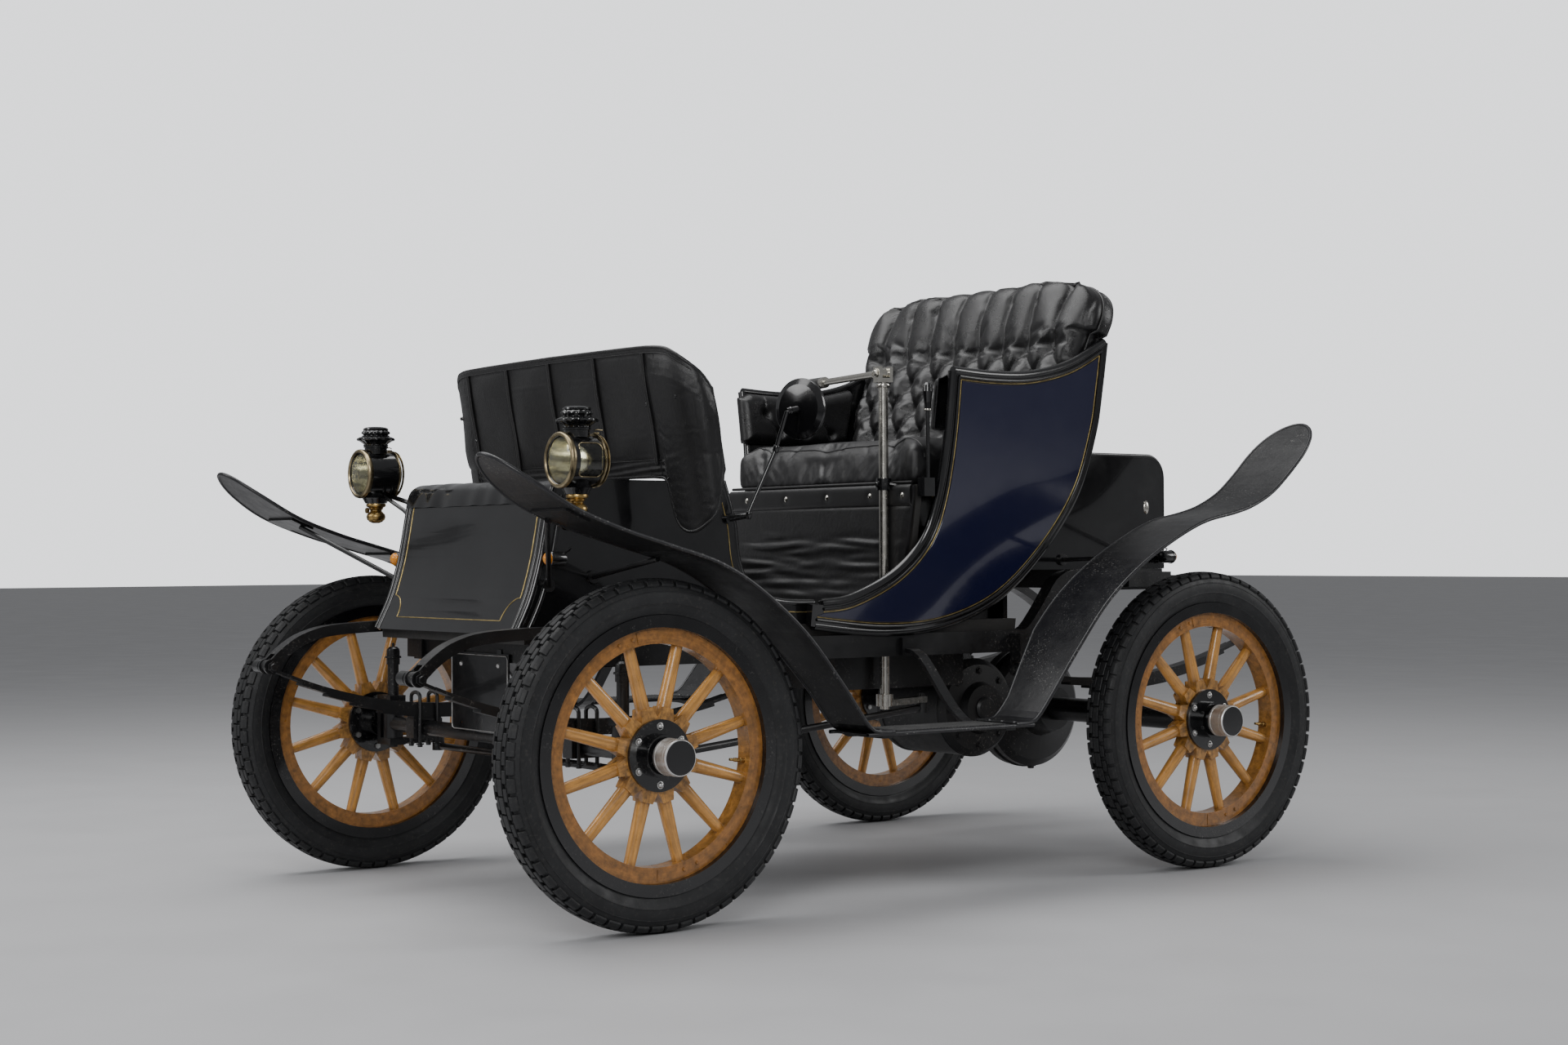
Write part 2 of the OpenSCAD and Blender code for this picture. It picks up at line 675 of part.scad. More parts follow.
module rear_box() {
    inner = box_half_width - panel_thickness;
    wall_low = 318;
    wall_top = panel_in(deck_z - 21) - fit;
    wall_mid = panel_in(rear_box_bottom_z) - fit;
    color([0.04, 0.04, 0.045]) {
        difference() {
            side_solid(box_side_outline(), -box_half_width, 2 * box_half_width);
            translate([-inner, rear_wall_y + 66, rear_box_bottom_z + 14])
                cube([2 * inner, box_rear_y - lid_thickness - box_rear_t - rear_wall_y - 66, 274]);
            translate([-inner, lid_front_y, rear_box_bottom_z + 14])
                cube([2 * inner, box_rear_y - lid_thickness - box_rear_t - lid_front_y, big]);
        }
        front_solid([[-wall_low, floor_top], [wall_low, floor_top], [wall_low, rear_box_bottom_z],
            [wall_mid, rear_box_bottom_z], [wall_top, deck_z - 20 - fit], [-wall_top, deck_z - 20 - fit],
            [-wall_mid, rear_box_bottom_z], [-wall_low, rear_box_bottom_z]], rear_wall_y - 14, 14);
    }
}

module rear_lid() {
    c = [box_rear_y - lid_corner, rear_box_top_z - lid_corner];
    color([0.04, 0.04, 0.045]) side_solid(concat([[lid_front_y, rear_box_top_z - lid_thickness]],
        reversed(arc_points(c, lid_corner - lid_thickness, 0, 90, 8)),
        [[box_rear_y - lid_thickness, lid_rear_bottom], [box_rear_y, lid_rear_bottom]],
        arc_points(c, lid_corner, 0, 90, 8), [[lid_front_y, rear_box_top_z]]),
        -box_half_width, 2 * box_half_width);
}

// ---- Fenders, steps and their irons ----

front_curve = concat(curve(front_fender_line, 4), [[-280, step_z + 2.3]]);
rear_curve = concat([[96, step_z + 2.3]], curve(rear_fender_line, 4));
step_inner = fender_outer + 3 - step_width;

module fender_plan(points) {
    linear_extrude(big / 2) polygon(points);
}

module front_fenders() {
    mid = fender_x + fender_width / 2;
    tip = front_fender_line[0][0];
    plan = concat([[fender_outer, -270]],
        [for (a = [0:15:180]) [mid + fender_width / 2 * cos(a), tip + 150 - 150 * sin(a)]],
        [[fender_x, -620], [step_inner, -400], [step_inner, -270]]);
    color([0.04, 0.04, 0.045]) both_sides() intersection() {
        side_solid(ribbon(front_curve, -fender_thickness / 2, fender_thickness / 2), fender_x, fender_width);
        fender_plan(plan);
    }
}

module rear_fenders() {
    mid = fender_x + fender_width / 2;
    tip = rear_fender_line[len(rear_fender_line) - 1][0];
    plan = concat([[step_inner, 90], [step_inner, 200], [fender_x, 330]],
        [for (a = [180:-15:0]) [mid + fender_width / 2 * cos(a), tip - 110 + 110 * sin(a)]],
        [[fender_outer, 90]]);
    color([0.04, 0.04, 0.045]) both_sides() intersection() {
        side_solid(ribbon(rear_curve, -fender_thickness / 2, fender_thickness / 2), fender_x, fender_width);
        fender_plan(plan);
    }
}

module side_steps() {
    color([0.05, 0.05, 0.05]) both_sides() {
        translate([step_inner, step_front_y, step_z - 4]) cube([step_width, step_rear_y - step_front_y, 4]);
        translate([step_inner + 8, tread_front_y, step_z - 1]) cube([step_width - 16, tread_length, tread_t + 1]);
    }
}

// A flat iron that lies under the fender over some of its curve points
module under_iron(line, first, last) {
    top = beside(line, -fender_thickness / 2 - fit);
    low = beside(line, -fender_thickness / 2 - fit - iron_t);
    side_solid(concat(part_of(low, first, last), reversed(part_of(top, first, last))),
        fender_x + 24, fender_width - 48);
}

module fender_irons() {
    front_pad = front_curve[18] - [0, 11];
    front_tip_pad = front_curve[9] - [0, 12];
    rear_pad = rear_curve[30] - [0, 13];
    low_pad = rear_curve[19] + [6, -11];
    color([0.05, 0.05, 0.05]) both_sides() {
        under_iron(front_curve, 17, 19);
        rod([box_half_width + fit + 6, front_pad[0], front_pad[1] - 40], [fender_x + 44, front_pad[0], front_pad[1]], 6);
        x_cylinder(box_half_width, 8, front_pad[0], front_pad[1] - 40, 15);
        under_iron(front_curve, 8, 10);
        rod([box_half_width + fit + 6, -935, 744], [fender_x + 40, front_tip_pad[0], front_tip_pad[1]], 6);
        x_cylinder(box_half_width, 8, -935, 744, 15);
        under_iron(rear_curve, 29, 31);
        rod([box_half_width + fit + 6, rear_pad[0] + 70, rear_box_bottom_z + 20],
            [fender_x + 44, rear_pad[0], rear_pad[1]], 7);
        x_cylinder(box_half_width, 8, rear_pad[0] + 70, rear_box_bottom_z + 20, 16);
        under_iron(rear_curve, 18, 20);
        rod([box_half_width + fit + 6, low_pad[0] + 70, rear_box_bottom_z + 26],
            [fender_x + 44, low_pad[0], low_pad[1]], 6);
        x_cylinder(box_half_width, 8, low_pad[0] + 70, rear_box_bottom_z + 26, 15);
    }
}

module step_irons() {
    line = [[rail_out + 8, rail_bottom + 14], [rail_out + 60, rail_bottom - 4], [step_inner - 90, step_z + 30],
            [step_inner - 20, step_z - 9], [step_inner + 30, step_z - 9], [fender_outer - 20, step_z - 9]];
    color([0.05, 0.05, 0.05]) both_sides() for (y = [step_front_y + 60, step_rear_y - 70]) {
        front_solid(ribbon(curve(line, 4), -5, 5), y, 30);
        translate([rail_out, y - 10, rail_bottom + 2]) cube([12, 50, 44]);
    }
}

// ---- Leather dash ----

dash_lean = 9.4;
dash_plan = [[-548, 98], [-541, 60], [-515, 24], [-460, 6], [-380, -1], [-200, -4], [0, -5],
             [200, -4], [380, -1], [460, 6], [515, 24], [541, 60], [548, 98]];
dash_front = [[0, 312], [300, 310], [450, 306], [500, 290], [534, 250], [546, 190], [546, 60],
              [544, -40], [535, -96], [508, -124], [472, -126], [446, -100], [438, -50], [430, -8],
              [400, 2], [300, 4], [0, 5]];

module leather_dash() {
    right = curve(dash_front, 3);
    left = [for (p = reversed(part_of(right, 1, len(right) - 2))) [-p[0], p[1]]];
    color([0.06, 0.06, 0.06]) translate([0, -670, front_box_top_z + fit]) rotate([dash_lean, 0, 0])
        intersection() {
            translate([0, 0, -200]) linear_extrude(600) polygon(ribbon(curve(dash_plan, 4), -4, 4));
            front_solid(concat(right, left), -200, 500);
        }
}

// Flat irons behind the dash, standing on the front box
module dash_stays() {
    color([0.05, 0.05, 0.05]) for (x = [-210, -70, 50, 190]) intersection() {
        translate([x, -670, front_box_top_z + fit]) rotate([dash_lean, 0, 0]) {
            translate([0, fit, -30]) cube([20, 6, 220]);
            translate([0, fit, -30]) cube([20, 40, 40]);
        }
        translate([-big / 2, -big / 2, front_box_top_z]) cube([big, big, big]);
    }
}

// ---- Lamps, mirror and small fittings ----

lamp_y = -991;
lamp_z = 1020;
lamp_r = lamp_rim_diameter / 2;
lamp_depth = 109;
chimney_y = lamp_y + 46;

module lamp_axis() {
    translate([lamp_offset, lamp_y, lamp_z]) rotate([-90, 0, 0]) children();
}

module headlamps() {
    crown_z = lamp_z + lamp_r;
    color([0.05, 0.05, 0.05]) both_sides() {
        difference() {
            union() {
                lamp_axis() rotate_extrude() polygon([[0, 4], [lamp_r - 9, 4], [lamp_r - 9, 0], [lamp_r - 3, 0],
                    [lamp_r, 5], [lamp_r - 1, 13], [lamp_r - 8, 16], [lamp_r - 8, lamp_depth - 20],
                    [lamp_r - 3, lamp_depth - 17], [lamp_r - 3, lamp_depth - 11],
                    [lamp_r - 10, lamp_depth - 8], [lamp_r - 26, lamp_depth], [0, lamp_depth]]);
                translate([lamp_offset, chimney_y, lamp_z]) rotate_extrude() polygon([[0, 0], [28, 0],
                    [28, lamp_r + 6], [33, lamp_r + 14], [48, lamp_r + 24], [46, lamp_r + 31],
                    [30, lamp_r + 35], [35, lamp_r + 42], [34, lamp_r + 49], [22, lamp_r + 56],
                    [0, lamp_r + 58]]);
                translate([lamp_offset, chimney_y, lamp_z]) mirror([0, 0, 1]) rotate_extrude()
                    polygon([[0, 0], [32, 0], [32, lamp_r + 2], [27, lamp_r + 12], [0, lamp_r + 12]]);
            }
            translate([lamp_offset + lamp_r - 22, lamp_y + 24, lamp_z - 36]) cube([40, 56, 72]);
        }
        rod([lamp_offset, chimney_y + 30, lamp_z - lamp_r + 10], [box_half_width + 6, chimney_y + 76, 912], 7);
        rod([lamp_offset - 20, chimney_y + 10, lamp_z - lamp_r + 8], [box_half_width + 6, chimney_y + 60, 880], 6);
        x_cylinder(box_half_width, 9, chimney_y + 76, 912, 12);
        x_cylinder(box_half_width, 9, chimney_y + 60, 880, 12);
    }
}

module headlamp_lenses() {
    color([0.8, 0.82, 0.7, 0.5]) both_sides() {
        lamp_axis() rotate_extrude() polygon([[0, -5], [20, -4.2], [38, -2], [lamp_r - 9 - fit, 1],
            [lamp_r - 9 - fit, 4], [0, 4]]);
        translate([lamp_offset + lamp_r - 22, lamp_y + 24 + fit, lamp_z - 36 + fit])
            cube([10, 56 - 2 * fit, 72 - 2 * fit]);
    }
}

module headlamp_founts() {
    top = lamp_z - lamp_r - 12;
    color([0.62, 0.42, 0.16]) both_sides() translate([lamp_offset, chimney_y, top]) mirror([0, 0, 1])
        rotate_extrude() polygon([[0, 0], [24, 0], [25, 6], [17, 11], [15, 20], [23, 30], [24, 38],
            [17, 46], [8, 49], [0, 50]]);
}

module indicator(x, y, z, way) {
    translate([x, y, z]) rotate([way > 0 ? -90 : 90, 0, 0]) {
        rotate_extrude() polygon([[0, -16], [9, -14], [16, -7], [18, 0], [17, 3], [17, 34], [10, 40], [0, 40]]);
        translate([0, 0, 12]) rotate([0, -90, 0]) cylinder(r = 7, h = x - box_half_width);
    }
}

module indicators() {
    color([0.8, 0.42, 0.05]) both_sides() {
        indicator(374, -946, 804, 1);
        indicator(374, box_rear_y - 4, 800, -1);
    }
}

module mirror_fitting() {
    disc = [450, -302, 1157];
    color([0.05, 0.05, 0.05]) {
        translate(disc) rotate([0, 0, 15]) rotate([90, 0, 0]) rotate_extrude()
            polygon([[0, -4], [mirror_diameter / 2, -4], [mirror_diameter / 2, 2], [mirror_diameter / 2 - 14, 8],
                     [18, 12], [0, 13]]);
        rod([394, -418, 903], [420, -352, 1062], 5);
        rod([420, -352, 1062], [448, -340, 1150], 5);
        translate([420, -352, 1062]) sphere(r = 7);
        rod([448, -340, 1150], [452, -308, 1157], 8);
        x_cylinder(box_half_width, 9, -438, 896, 13);
        rod([box_half_width + 6, -438, 896], [396, -416, 904], 7);
    }
}

plate_y = front_axle_y - 36;
plate_x = [-170, 110];
plate_z = [390, 580];

module number_plate() {
    color([0.05, 0.05, 0.05]) difference() {
        union() {
            translate([plate_x[0], plate_y, plate_z[0]])
                cube([plate_x[1] - plate_x[0], 3, plate_z[1] - plate_z[0]]);
            for (x = [plate_x[0] + 40, plate_x[1] - 60])
                translate([x, plate_y + 3, plate_z[1] - 60]) cube([20, 3, 70]);
        }
        for (x = [plate_x[0] + 50, plate_x[1] - 50])
            translate([x, plate_y - 10, plate_z[0] + 20]) rotate([-90, 0, 0]) cylinder(r = 3.5, h = 30);
    }
}

module control_lever() {
    color([0.05, 0.05, 0.05]) {
        translate([panel_in(deck_z), riser_y + 2, deck_z - 30]) cube([26, 34, 46]);
        translate([panel_in(deck_z) + 14, riser_y + 24, deck_z]) rotate_extrude()
            polygon([[0, 0], [5, 0], [5, 183], [8, 187], [9, 205], [13, 232], [12, 248], [6, 254], [0, 254]]);
    }
}

// ---- Steering ----

clevis_gap = 20;
tiller_way = [-460, 95];
tiller_turn = atan2(tiller_way[1], tiller_way[0]) - 180;
clevis_r = 19;

// Placed on the fold pin's axis, with the bar pointing to local -X
module at_tiller_pin() {
    translate([post_xy[0], post_xy[1], tiller_top_z]) rotate([0, 0, tiller_turn]) children();
}

// A flat steering arm with round ends and a pin hole at its tip
module steering_arm(way) {
    linear_extrude(arm_t) difference() {
        hull() {
            circle(r = 20, $fn = 32);
            translate(way) circle(r = 15, $fn = 32);
        }
        translate(way) circle(r = 7 + run);
    }
}

module tiller_post() {
    post_top = tiller_top_z - 14;
    color([0.75, 0.75, 0.73]) difference() {
        union() {
            translate([post_xy[0], post_xy[1], post_bottom]) cylinder(r = post_r, h = post_top - post_bottom);
            at_tiller_pin() translate([-17, -clevis_r, -24]) cube([34, 2 * clevis_r, 40]);
        }
        at_tiller_pin() {
            translate([-30, -clevis_gap / 2, -13]) cube([60, clevis_gap, 60]);
            rotate([-90, 0, 0]) cylinder(r = 6 + run, h = 100, center = true);
        }
    }
    color([0.05, 0.05, 0.05]) translate([post_xy[0], post_xy[1], post_arm_z]) {
        steering_arm(drag_arm);
        cylinder(r = 22, h = 30);
    }
}

module tiller_bar() {
    half = clevis_gap / 2 - 0.5;
    grip = 0.75 * tiller_length;
    color([0.72, 0.72, 0.7]) at_tiller_pin() {
        rotate([-90, 0, 0]) cylinder(r = 6, h = 2 * clevis_r + 6, center = true);
        rotate([-90, 0, 0]) cylinder(r = 12, h = 2 * half, center = true);
        translate([-34, -half, -7]) cube([34, 2 * half, 14]);
        rotate([0, -90, 0]) translate([0, 0, 28]) cylinder(r = 9, h = grip - 28);
    }
    color([0.06, 0.06, 0.06]) at_tiller_pin() rotate([0, -90, 0]) translate([0, 0, grip])
        cylinder(r = 14, h = tiller_length - grip);
}

module knuckle(side) {
    web = knuckle_out - 17;
    top = boss_top + fit;
    bottom = boss_bottom - fit;
    arms = side > 0 ? [drag_arm, tie_arm] : [tie_arm];
    color([0.05, 0.05, 0.05]) {
        mirror([side > 0 ? 0 : 1, 0, 0]) {
            front_solid([[kingpin_offset - 26, top], [web, top], [web, bottom], [kingpin_offset - 26, bottom],
                [kingpin_offset - 26, bottom - ear], [knuckle_out, bottom - ear], [knuckle_out, top + ear],
                [kingpin_offset - 26, top + ear]], front_axle_y - 22, 44);
            translate([kingpin_offset, front_axle_y, bottom - ear - 6])
                cylinder(r = kingpin_r, h = top - bottom + 2 * ear + 12);
            translate([kingpin_offset, front_axle_y, top + ear - 1]) cylinder(r = kingpin_r + 3, h = 80);
            translate([kingpin_offset, front_axle_y, top + ear + 79]) cylinder(r = kingpin_r + 6, h = 16);
            x_cylinder(knuckle_out - 1, wheel_x + spindle_end - knuckle_out + 1, front_axle_y, axle_z, spindle_r);
        }
        for (a = arms) translate([side * kingpin_offset, front_axle_y, bottom - arm_t]) steering_arm(a);
    }
}

module drag_link() {
    rear = [post_xy[0] + drag_arm[0], post_xy[1] + drag_arm[1]];
    front = [kingpin_offset + drag_arm[0], front_axle_y + drag_arm[1]];
    rear_z = post_arm_z - fit;
    front_z = boss_bottom;
    color([0.05, 0.05, 0.05]) {
        translate([rear[0], rear[1], rear_z - 26]) cylinder(r = 17, h = 26);
        translate([rear[0], rear[1], rear_z - 4]) cylinder(r = 7, h = arm_t + 12);
        translate([front[0], front[1], front_z]) cylinder(r = 19, h = 34);
        rod([rear[0], rear[1], rear_z - 13], [front[0], front[1], front_z + 17], 9);
    }
}

module tie_rod() {
    z = boss_bottom - fit - arm_t - fit;
    left = [kingpin_offset, front_axle_y + tie_arm[1]];
    color([0.05, 0.05, 0.05]) {
        both_sides() translate([left[0], left[1], z - 22]) cylinder(r = 16, h = 22);
        translate([left[0], left[1], z - 4]) cylinder(r = 7, h = arm_t + 12);
        x_cylinder(-left[0], 2 * left[0], left[1], z - 11, 9);
    }
}

chassis_rails();
cross_members();
spring_horns();
spring_hangers();
front_springs();
rear_springs();
front_axle();
rear_axle();
drive_motor();
battery_blocks();
front_panel();
front_box_sides();
front_box_top();
front_bulkhead();
body_floor();
side_panels();
seat_riser();
seat_cushion();
seat_back_shell();
seat_back_cushion();
seat_side_pads();
seat_apron();
rear_box();
front_fenders();
rear_fenders();
side_steps();
fender_irons();
step_irons();
leather_dash();
dash_stays();
headlamps();
headlamp_lenses();
headlamp_founts();
indicators();
mirror_fitting();  // mirror
number_plate();
control_lever();
rear_lid();
tiller_post();
tiller_bar();
drag_link();
tie_rod();
knuckle(1);  // knuckle_left
knuckle(-1);  // knuckle_right
wheel_tyre(1, front_axle_y);  // tyre_front_left
wheel_tyre(-1, front_axle_y);  // tyre_front_right
wheel_tyre(1, rear_axle_y);  // tyre_rear_left
wheel_tyre(-1, rear_axle_y);  // tyre_rear_right
wheel_spokes(1, front_axle_y);  // spokes_front_left
wheel_spokes(-1, front_axle_y);  // spokes_front_right
wheel_spokes(1, rear_axle_y);  // spokes_rear_left
wheel_spokes(-1, rear_axle_y);  // spokes_rear_right
wheel_hub(1, front_axle_y);  // hub_front_left
wheel_hub(-1, front_axle_y);  // hub_front_right
wheel_hub(1, rear_axle_y);  // hub_rear_left
wheel_hub(-1, rear_axle_y);  // hub_rear_right
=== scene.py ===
"""Looks of an early electric runabout: finishes for its frame, and the soft and fine pieces round it."""

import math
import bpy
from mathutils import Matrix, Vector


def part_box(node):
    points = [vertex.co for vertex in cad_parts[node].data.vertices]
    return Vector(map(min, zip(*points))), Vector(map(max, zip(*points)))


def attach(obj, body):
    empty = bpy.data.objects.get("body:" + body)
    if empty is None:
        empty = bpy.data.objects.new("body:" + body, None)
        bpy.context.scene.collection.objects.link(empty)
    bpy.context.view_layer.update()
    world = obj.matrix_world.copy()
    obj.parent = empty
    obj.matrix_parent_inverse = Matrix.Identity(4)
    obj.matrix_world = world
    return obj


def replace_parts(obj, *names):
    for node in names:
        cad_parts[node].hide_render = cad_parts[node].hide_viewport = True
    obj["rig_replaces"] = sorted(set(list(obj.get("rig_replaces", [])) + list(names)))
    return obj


bl_info = {
    "name": "Early Electric Runabout",
    "version": (1, 0, 0),
    "blender": (4, 5, 0),
    "location": "View3D > Sidebar > Runabout",
    "description": "Builds the leather, lamps, tyres, trim and finishes of a tiller-steered electric runabout",
    "category": "Add Mesh",
}

import bpy
import numpy as np
from bpy.props import FloatProperty, FloatVectorProperty, IntProperty
from mathutils import Matrix, Vector

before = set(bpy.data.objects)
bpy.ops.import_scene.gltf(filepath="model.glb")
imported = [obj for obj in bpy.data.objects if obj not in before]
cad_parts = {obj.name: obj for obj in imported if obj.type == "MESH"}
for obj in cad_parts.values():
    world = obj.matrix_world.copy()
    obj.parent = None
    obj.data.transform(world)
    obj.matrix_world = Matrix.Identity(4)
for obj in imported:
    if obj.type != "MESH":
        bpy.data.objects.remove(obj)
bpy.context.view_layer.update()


def mm(*points):
    """Points given in millimetres, in metres."""
    return [tuple(round(value / 1000, 9) for value in point) for point in points]


# Places that the fixed frame gives, in metres: +X is the car's left, -Y is ahead
WHEEL_X = sum(c.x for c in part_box("tyre_front_left")) / 2
AXLE_Z = sum(c.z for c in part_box("tyre_front_left")) / 2
TYRE_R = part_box("tyre_front_left")[1].z - AXLE_Z
TYRE_HALF = (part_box("tyre_front_left")[1].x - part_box("tyre_front_left")[0].x) / 2
AXLE_Y = {end: sum(c.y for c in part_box(f"tyre_{end}_left")) / 2 for end in ("front", "rear")}
WHEELS = [(end, side) for end in ("front", "rear") for side in ("left", "right")]
BOX_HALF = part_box("front_box_sides")[1].x
FRONT_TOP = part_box("front_box_top")[1].z
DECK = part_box("seat_riser")[1].z
LID_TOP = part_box("rear_lid")[1].z
LID_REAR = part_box("rear_lid")[1].y
STEP_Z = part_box("side_steps")[0].z + 0.004
BACK_Y = 0.437
BACK_ANGLE = math.radians(21.3)
LEAN = 0.147
PANEL_X = 0.37
PANEL_Z = 0.62

# The body's and fenders' side lines, as y, z
FRONT_FACE = mm((-1022, 634), (-985, 710), (-960, 790), (-947, 850), (-938, 900), (-929, 948))
TOP_ROLL = mm((-929, 948), (-920, 969), (-902, 981), (-880, 985))
ENTRY = mm((-452, 985), (-422, 888), (-407, 790), (-370, 728), (-290, 697), (-182, 691), (-90, 703), (37, 760),
    (122, 843), (158, 949), (172, 1100), (171, 1268))
PANEL_TOP = mm((171, 1268), (300, 1262), (430, 1268), (560, 1300), (678, 1363))
PANEL_REAR = mm((678, 1363), (676, 1250), (668, 1127), (626, 968), (524, 819), (382, 696), (208, 632), (15, 618),
    (-215, 640))
FRONT_FENDER = [(-1.284, 1.02), (-1.22, 0.97), (-1.123, 0.911), (-1.004, 0.866), (-0.882, 0.831), (-0.755, 0.793),
    (-0.647, 0.735), (-0.526, 0.638), (-0.424, 0.521), (-0.35, STEP_Z + 0.02), (-0.318, STEP_Z + 0.0023)]
REAR_FENDER = [(0.138, STEP_Z + 0.0023), (0.176, STEP_Z + 0.026), (0.287, 0.567), (0.396, 0.69), (0.507, 0.776),
    (0.621, 0.84), (0.737, 0.889), (0.85, 0.913), (0.918, 0.932), (0.99, 0.966), (1.053, 1.014), (1.104, 1.06),
    (1.16, 1.112), (1.206, 1.152)]
FENDER_IN, FENDER_OUT = 0.573, 0.765
# The dash from above, as x, y, and its outline from ahead, as x, height over the box
DASH_PLAN = mm((0, -5), (200, -4), (380, -1), (460, 6), (515, 24), (541, 60), (548, 98))
DASH_OUTLINE = mm((0, 312), (300, 310), (450, 306), (500, 290), (534, 250), (546, 190), (546, 60), (544, -40),
    (535, -96), (508, -124), (472, -126), (446, -100), (438, -50), (430, -8), (400, 2), (300, 4), (0, 5))
DASH_Y, DASH_LEAN = -0.67, math.radians(9.4)
# Half outline of the seat back, along its own slope
BACK_HALF = mm((394, 0), (430, 260), (448, 430), (449, 450), (474, 458), (478, 500), (464, 542), (430, 574),
    (380, 592), (250, 605), (110, 611), (0, 613))
LAMP = Vector((0.489, -0.991, 1.02))
LAMP_R = 0.0625
CHIMNEY_Y = LAMP.y + 0.046


# ---- Lines ----


def curve(points, steps=5):
    """A smooth line through the points, the same as the frame's own."""
    p = [Vector(q) for q in points]
    line = []
    for i in range(len(p) - 1):
        a, b, c, d = p[max(i - 1, 0)], p[i], p[i + 1], p[min(i + 2, len(p) - 1)]
        for j in range(steps):
            t = j / steps
            line.append(0.5 * (2 * b + (c - a) * t + (2 * a - 5 * b + 4 * c - d) * t * t + (3 * b - a - 3 * c + d) * t
                ** 3))
    return line + [p[-1]]


def beside(line, distance):
    """The same flat line moved to its left by a distance."""
    moved = []
    for i, p in enumerate(line):
        way = (line[min(i + 1, len(line) - 1)] - line[max(i - 1, 0)]).normalized()
        moved.append(p + distance * Vector((-way.y, way.x)))
    return moved


def level_at(line, value, axis=0):
    """The other coordinate of a flat line where one coordinate has a value."""
    other = 1 - axis
    for a, b in zip(line, line[1:]):
        low, high = sorted((a[axis], b[axis]))
        if low <= value <= high and high > low:
            return a[other] + (b[other] - a[other]) * (value - a[axis]) / (b[axis] - a[axis])
    return min(line, key=lambda q: abs(q[axis] - value))[other]


def leaned_x(z, outward=0.0):
    """The outer face of the leaning side panel at a height."""
    return PANEL_X + LEAN * (z - PANEL_Z) + outward


def on_panel(line, outward=0.0):
    """A side-view line laid on the left leaning panel."""
    return [Vector((leaned_x(z, outward), y, z)) for y, z in line]


def crossing(first, second):
    """Both flat lines cut off where they meet: the first one's start and the second one's end stay."""
    for i in range(len(first) - 1):
        for j in range(len(second) - 1):
            a, b, c, d = first[i], first[i + 1], second[j], second[j + 1]
            u, v = b - a, d - c
            cross = u.x * v.y - u.y * v.x
            if abs(cross) < 1e-12:
                continue
            t = ((c - a).x * v.y - (c - a).y * v.x) / cross
            s = ((c - a).x * u.y - (c - a).y * u.x) / cross
            if 0 <= t <= 1 and 0 <= s <= 1:
                meet = a + t * u
                return first[:i + 1] + [meet], [meet] + second[j + 1:]
    return first, second


# ---- Making pieces ----


def clear():
    """Leaves edit mode with nothing selected."""
    if bpy.context.object and bpy.context.object.mode != "OBJECT":
        bpy.ops.object.mode_set(mode="OBJECT")
    bpy.ops.object.select_all(action="DESELECT")


def only(piece):
    """Selects one piece and makes it the active one."""
    clear()
    piece.select_set(True)
    bpy.context.view_layer.objects.active = piece


def settle(piece):
    """Puts the piece's place into its mesh."""
    only(piece)
    bpy.ops.object.transform_apply(location=True, rotation=True, scale=True)
    return piece


def opened(piece):
    """Opens the piece in edit mode with all of it selected."""
    only(piece)
    bpy.ops.object.mode_set(mode="EDIT")
    bpy.ops.mesh.select_all(action="SELECT")


def closed(piece):
    """Turns the selected faces outward and leaves edit mode."""
    bpy.ops.mesh.normals_make_consistent(inside=False)
    bpy.ops.object.mode_set(mode="OBJECT")
    return piece


def tidy(piece, merge=1e-5):
    """Merges doubled points and turns the faces outward."""
    opened(piece)
    bpy.ops.mesh.remove_doubles(threshold=merge)
    return closed(piece)


def shaped(piece, kind, **settings):
    """The piece with one modifier set up and applied."""
    only(piece)
    mod = piece.modifiers.new("step", kind)
    for name, value in settings.items():
        setattr(mod, name, value)
    bpy.ops.object.modifier_apply(modifier=mod.name)
    return piece


def bevelled(piece, width, segments=2, angle=30):
    """Rounds the piece's sharp edges."""
    return shaped(piece, "BEVEL", width=width, segments=segments, limit_method="ANGLE",
        angle_limit=math.radians(angle))


def walled(piece, thickness, offset=0, merge=1e-5):
    """Gives a sheet its thickness: half on each side, or all behind it with an offset of -1."""
    return tidy(shaped(piece, "SOLIDIFY", thickness=thickness, offset=offset), merge)


def joined(pieces):
    """Several pieces made one."""
    clear()
    for piece in pieces:
        piece.select_set(True)
    bpy.context.view_layer.objects.active = pieces[0]
    if len(pieces) > 1:
        bpy.ops.object.join()
    return pieces[0]


def done(name, piece, coat, replaces=None, angle=40, body="chassis"):
    """Names a finished piece, or parts to join, gives it its finish and lets it ride on its body."""
    if isinstance(piece, list):
        piece = joined(piece)
    settle(piece)
    bpy.ops.object.shade_smooth_by_angle(angle=math.radians(angle))
    piece.name = piece.data.name = name
    piece.data.materials.clear()
    piece.data.materials.append(finish(coat))
    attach(piece, body)
    if replaces:
        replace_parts(piece, replaces)
    return piece


def copied(piece, name, body):
    """A copy of a finished piece with its own mesh, on a body of its own."""
    only(piece)
    bpy.ops.object.duplicate()
    copy = bpy.context.object
    copy.parent = None
    copy.name = copy.data.name = name
    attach(copy, body)
    return copy


def flipped(piece):
    """The mesh turned over to the car's right side."""
    piece.data.transform(Matrix.Scale(-1, 4, (1, 0, 0)))
    piece.data.flip_normals()
    return piece


def pair(name, piece, coat, replaces=None, angle=40, body="chassis"):
    """A finished piece on the car's left, and the same on its right; {} in the body's name stands for the side."""
    left = done(name + "_left", piece, coat, replaces, angle, body.format("left"))
    right = flipped(copied(left, name + "_right", body.format("right")))
    if replaces:
        del right["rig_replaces"]
    return left, right


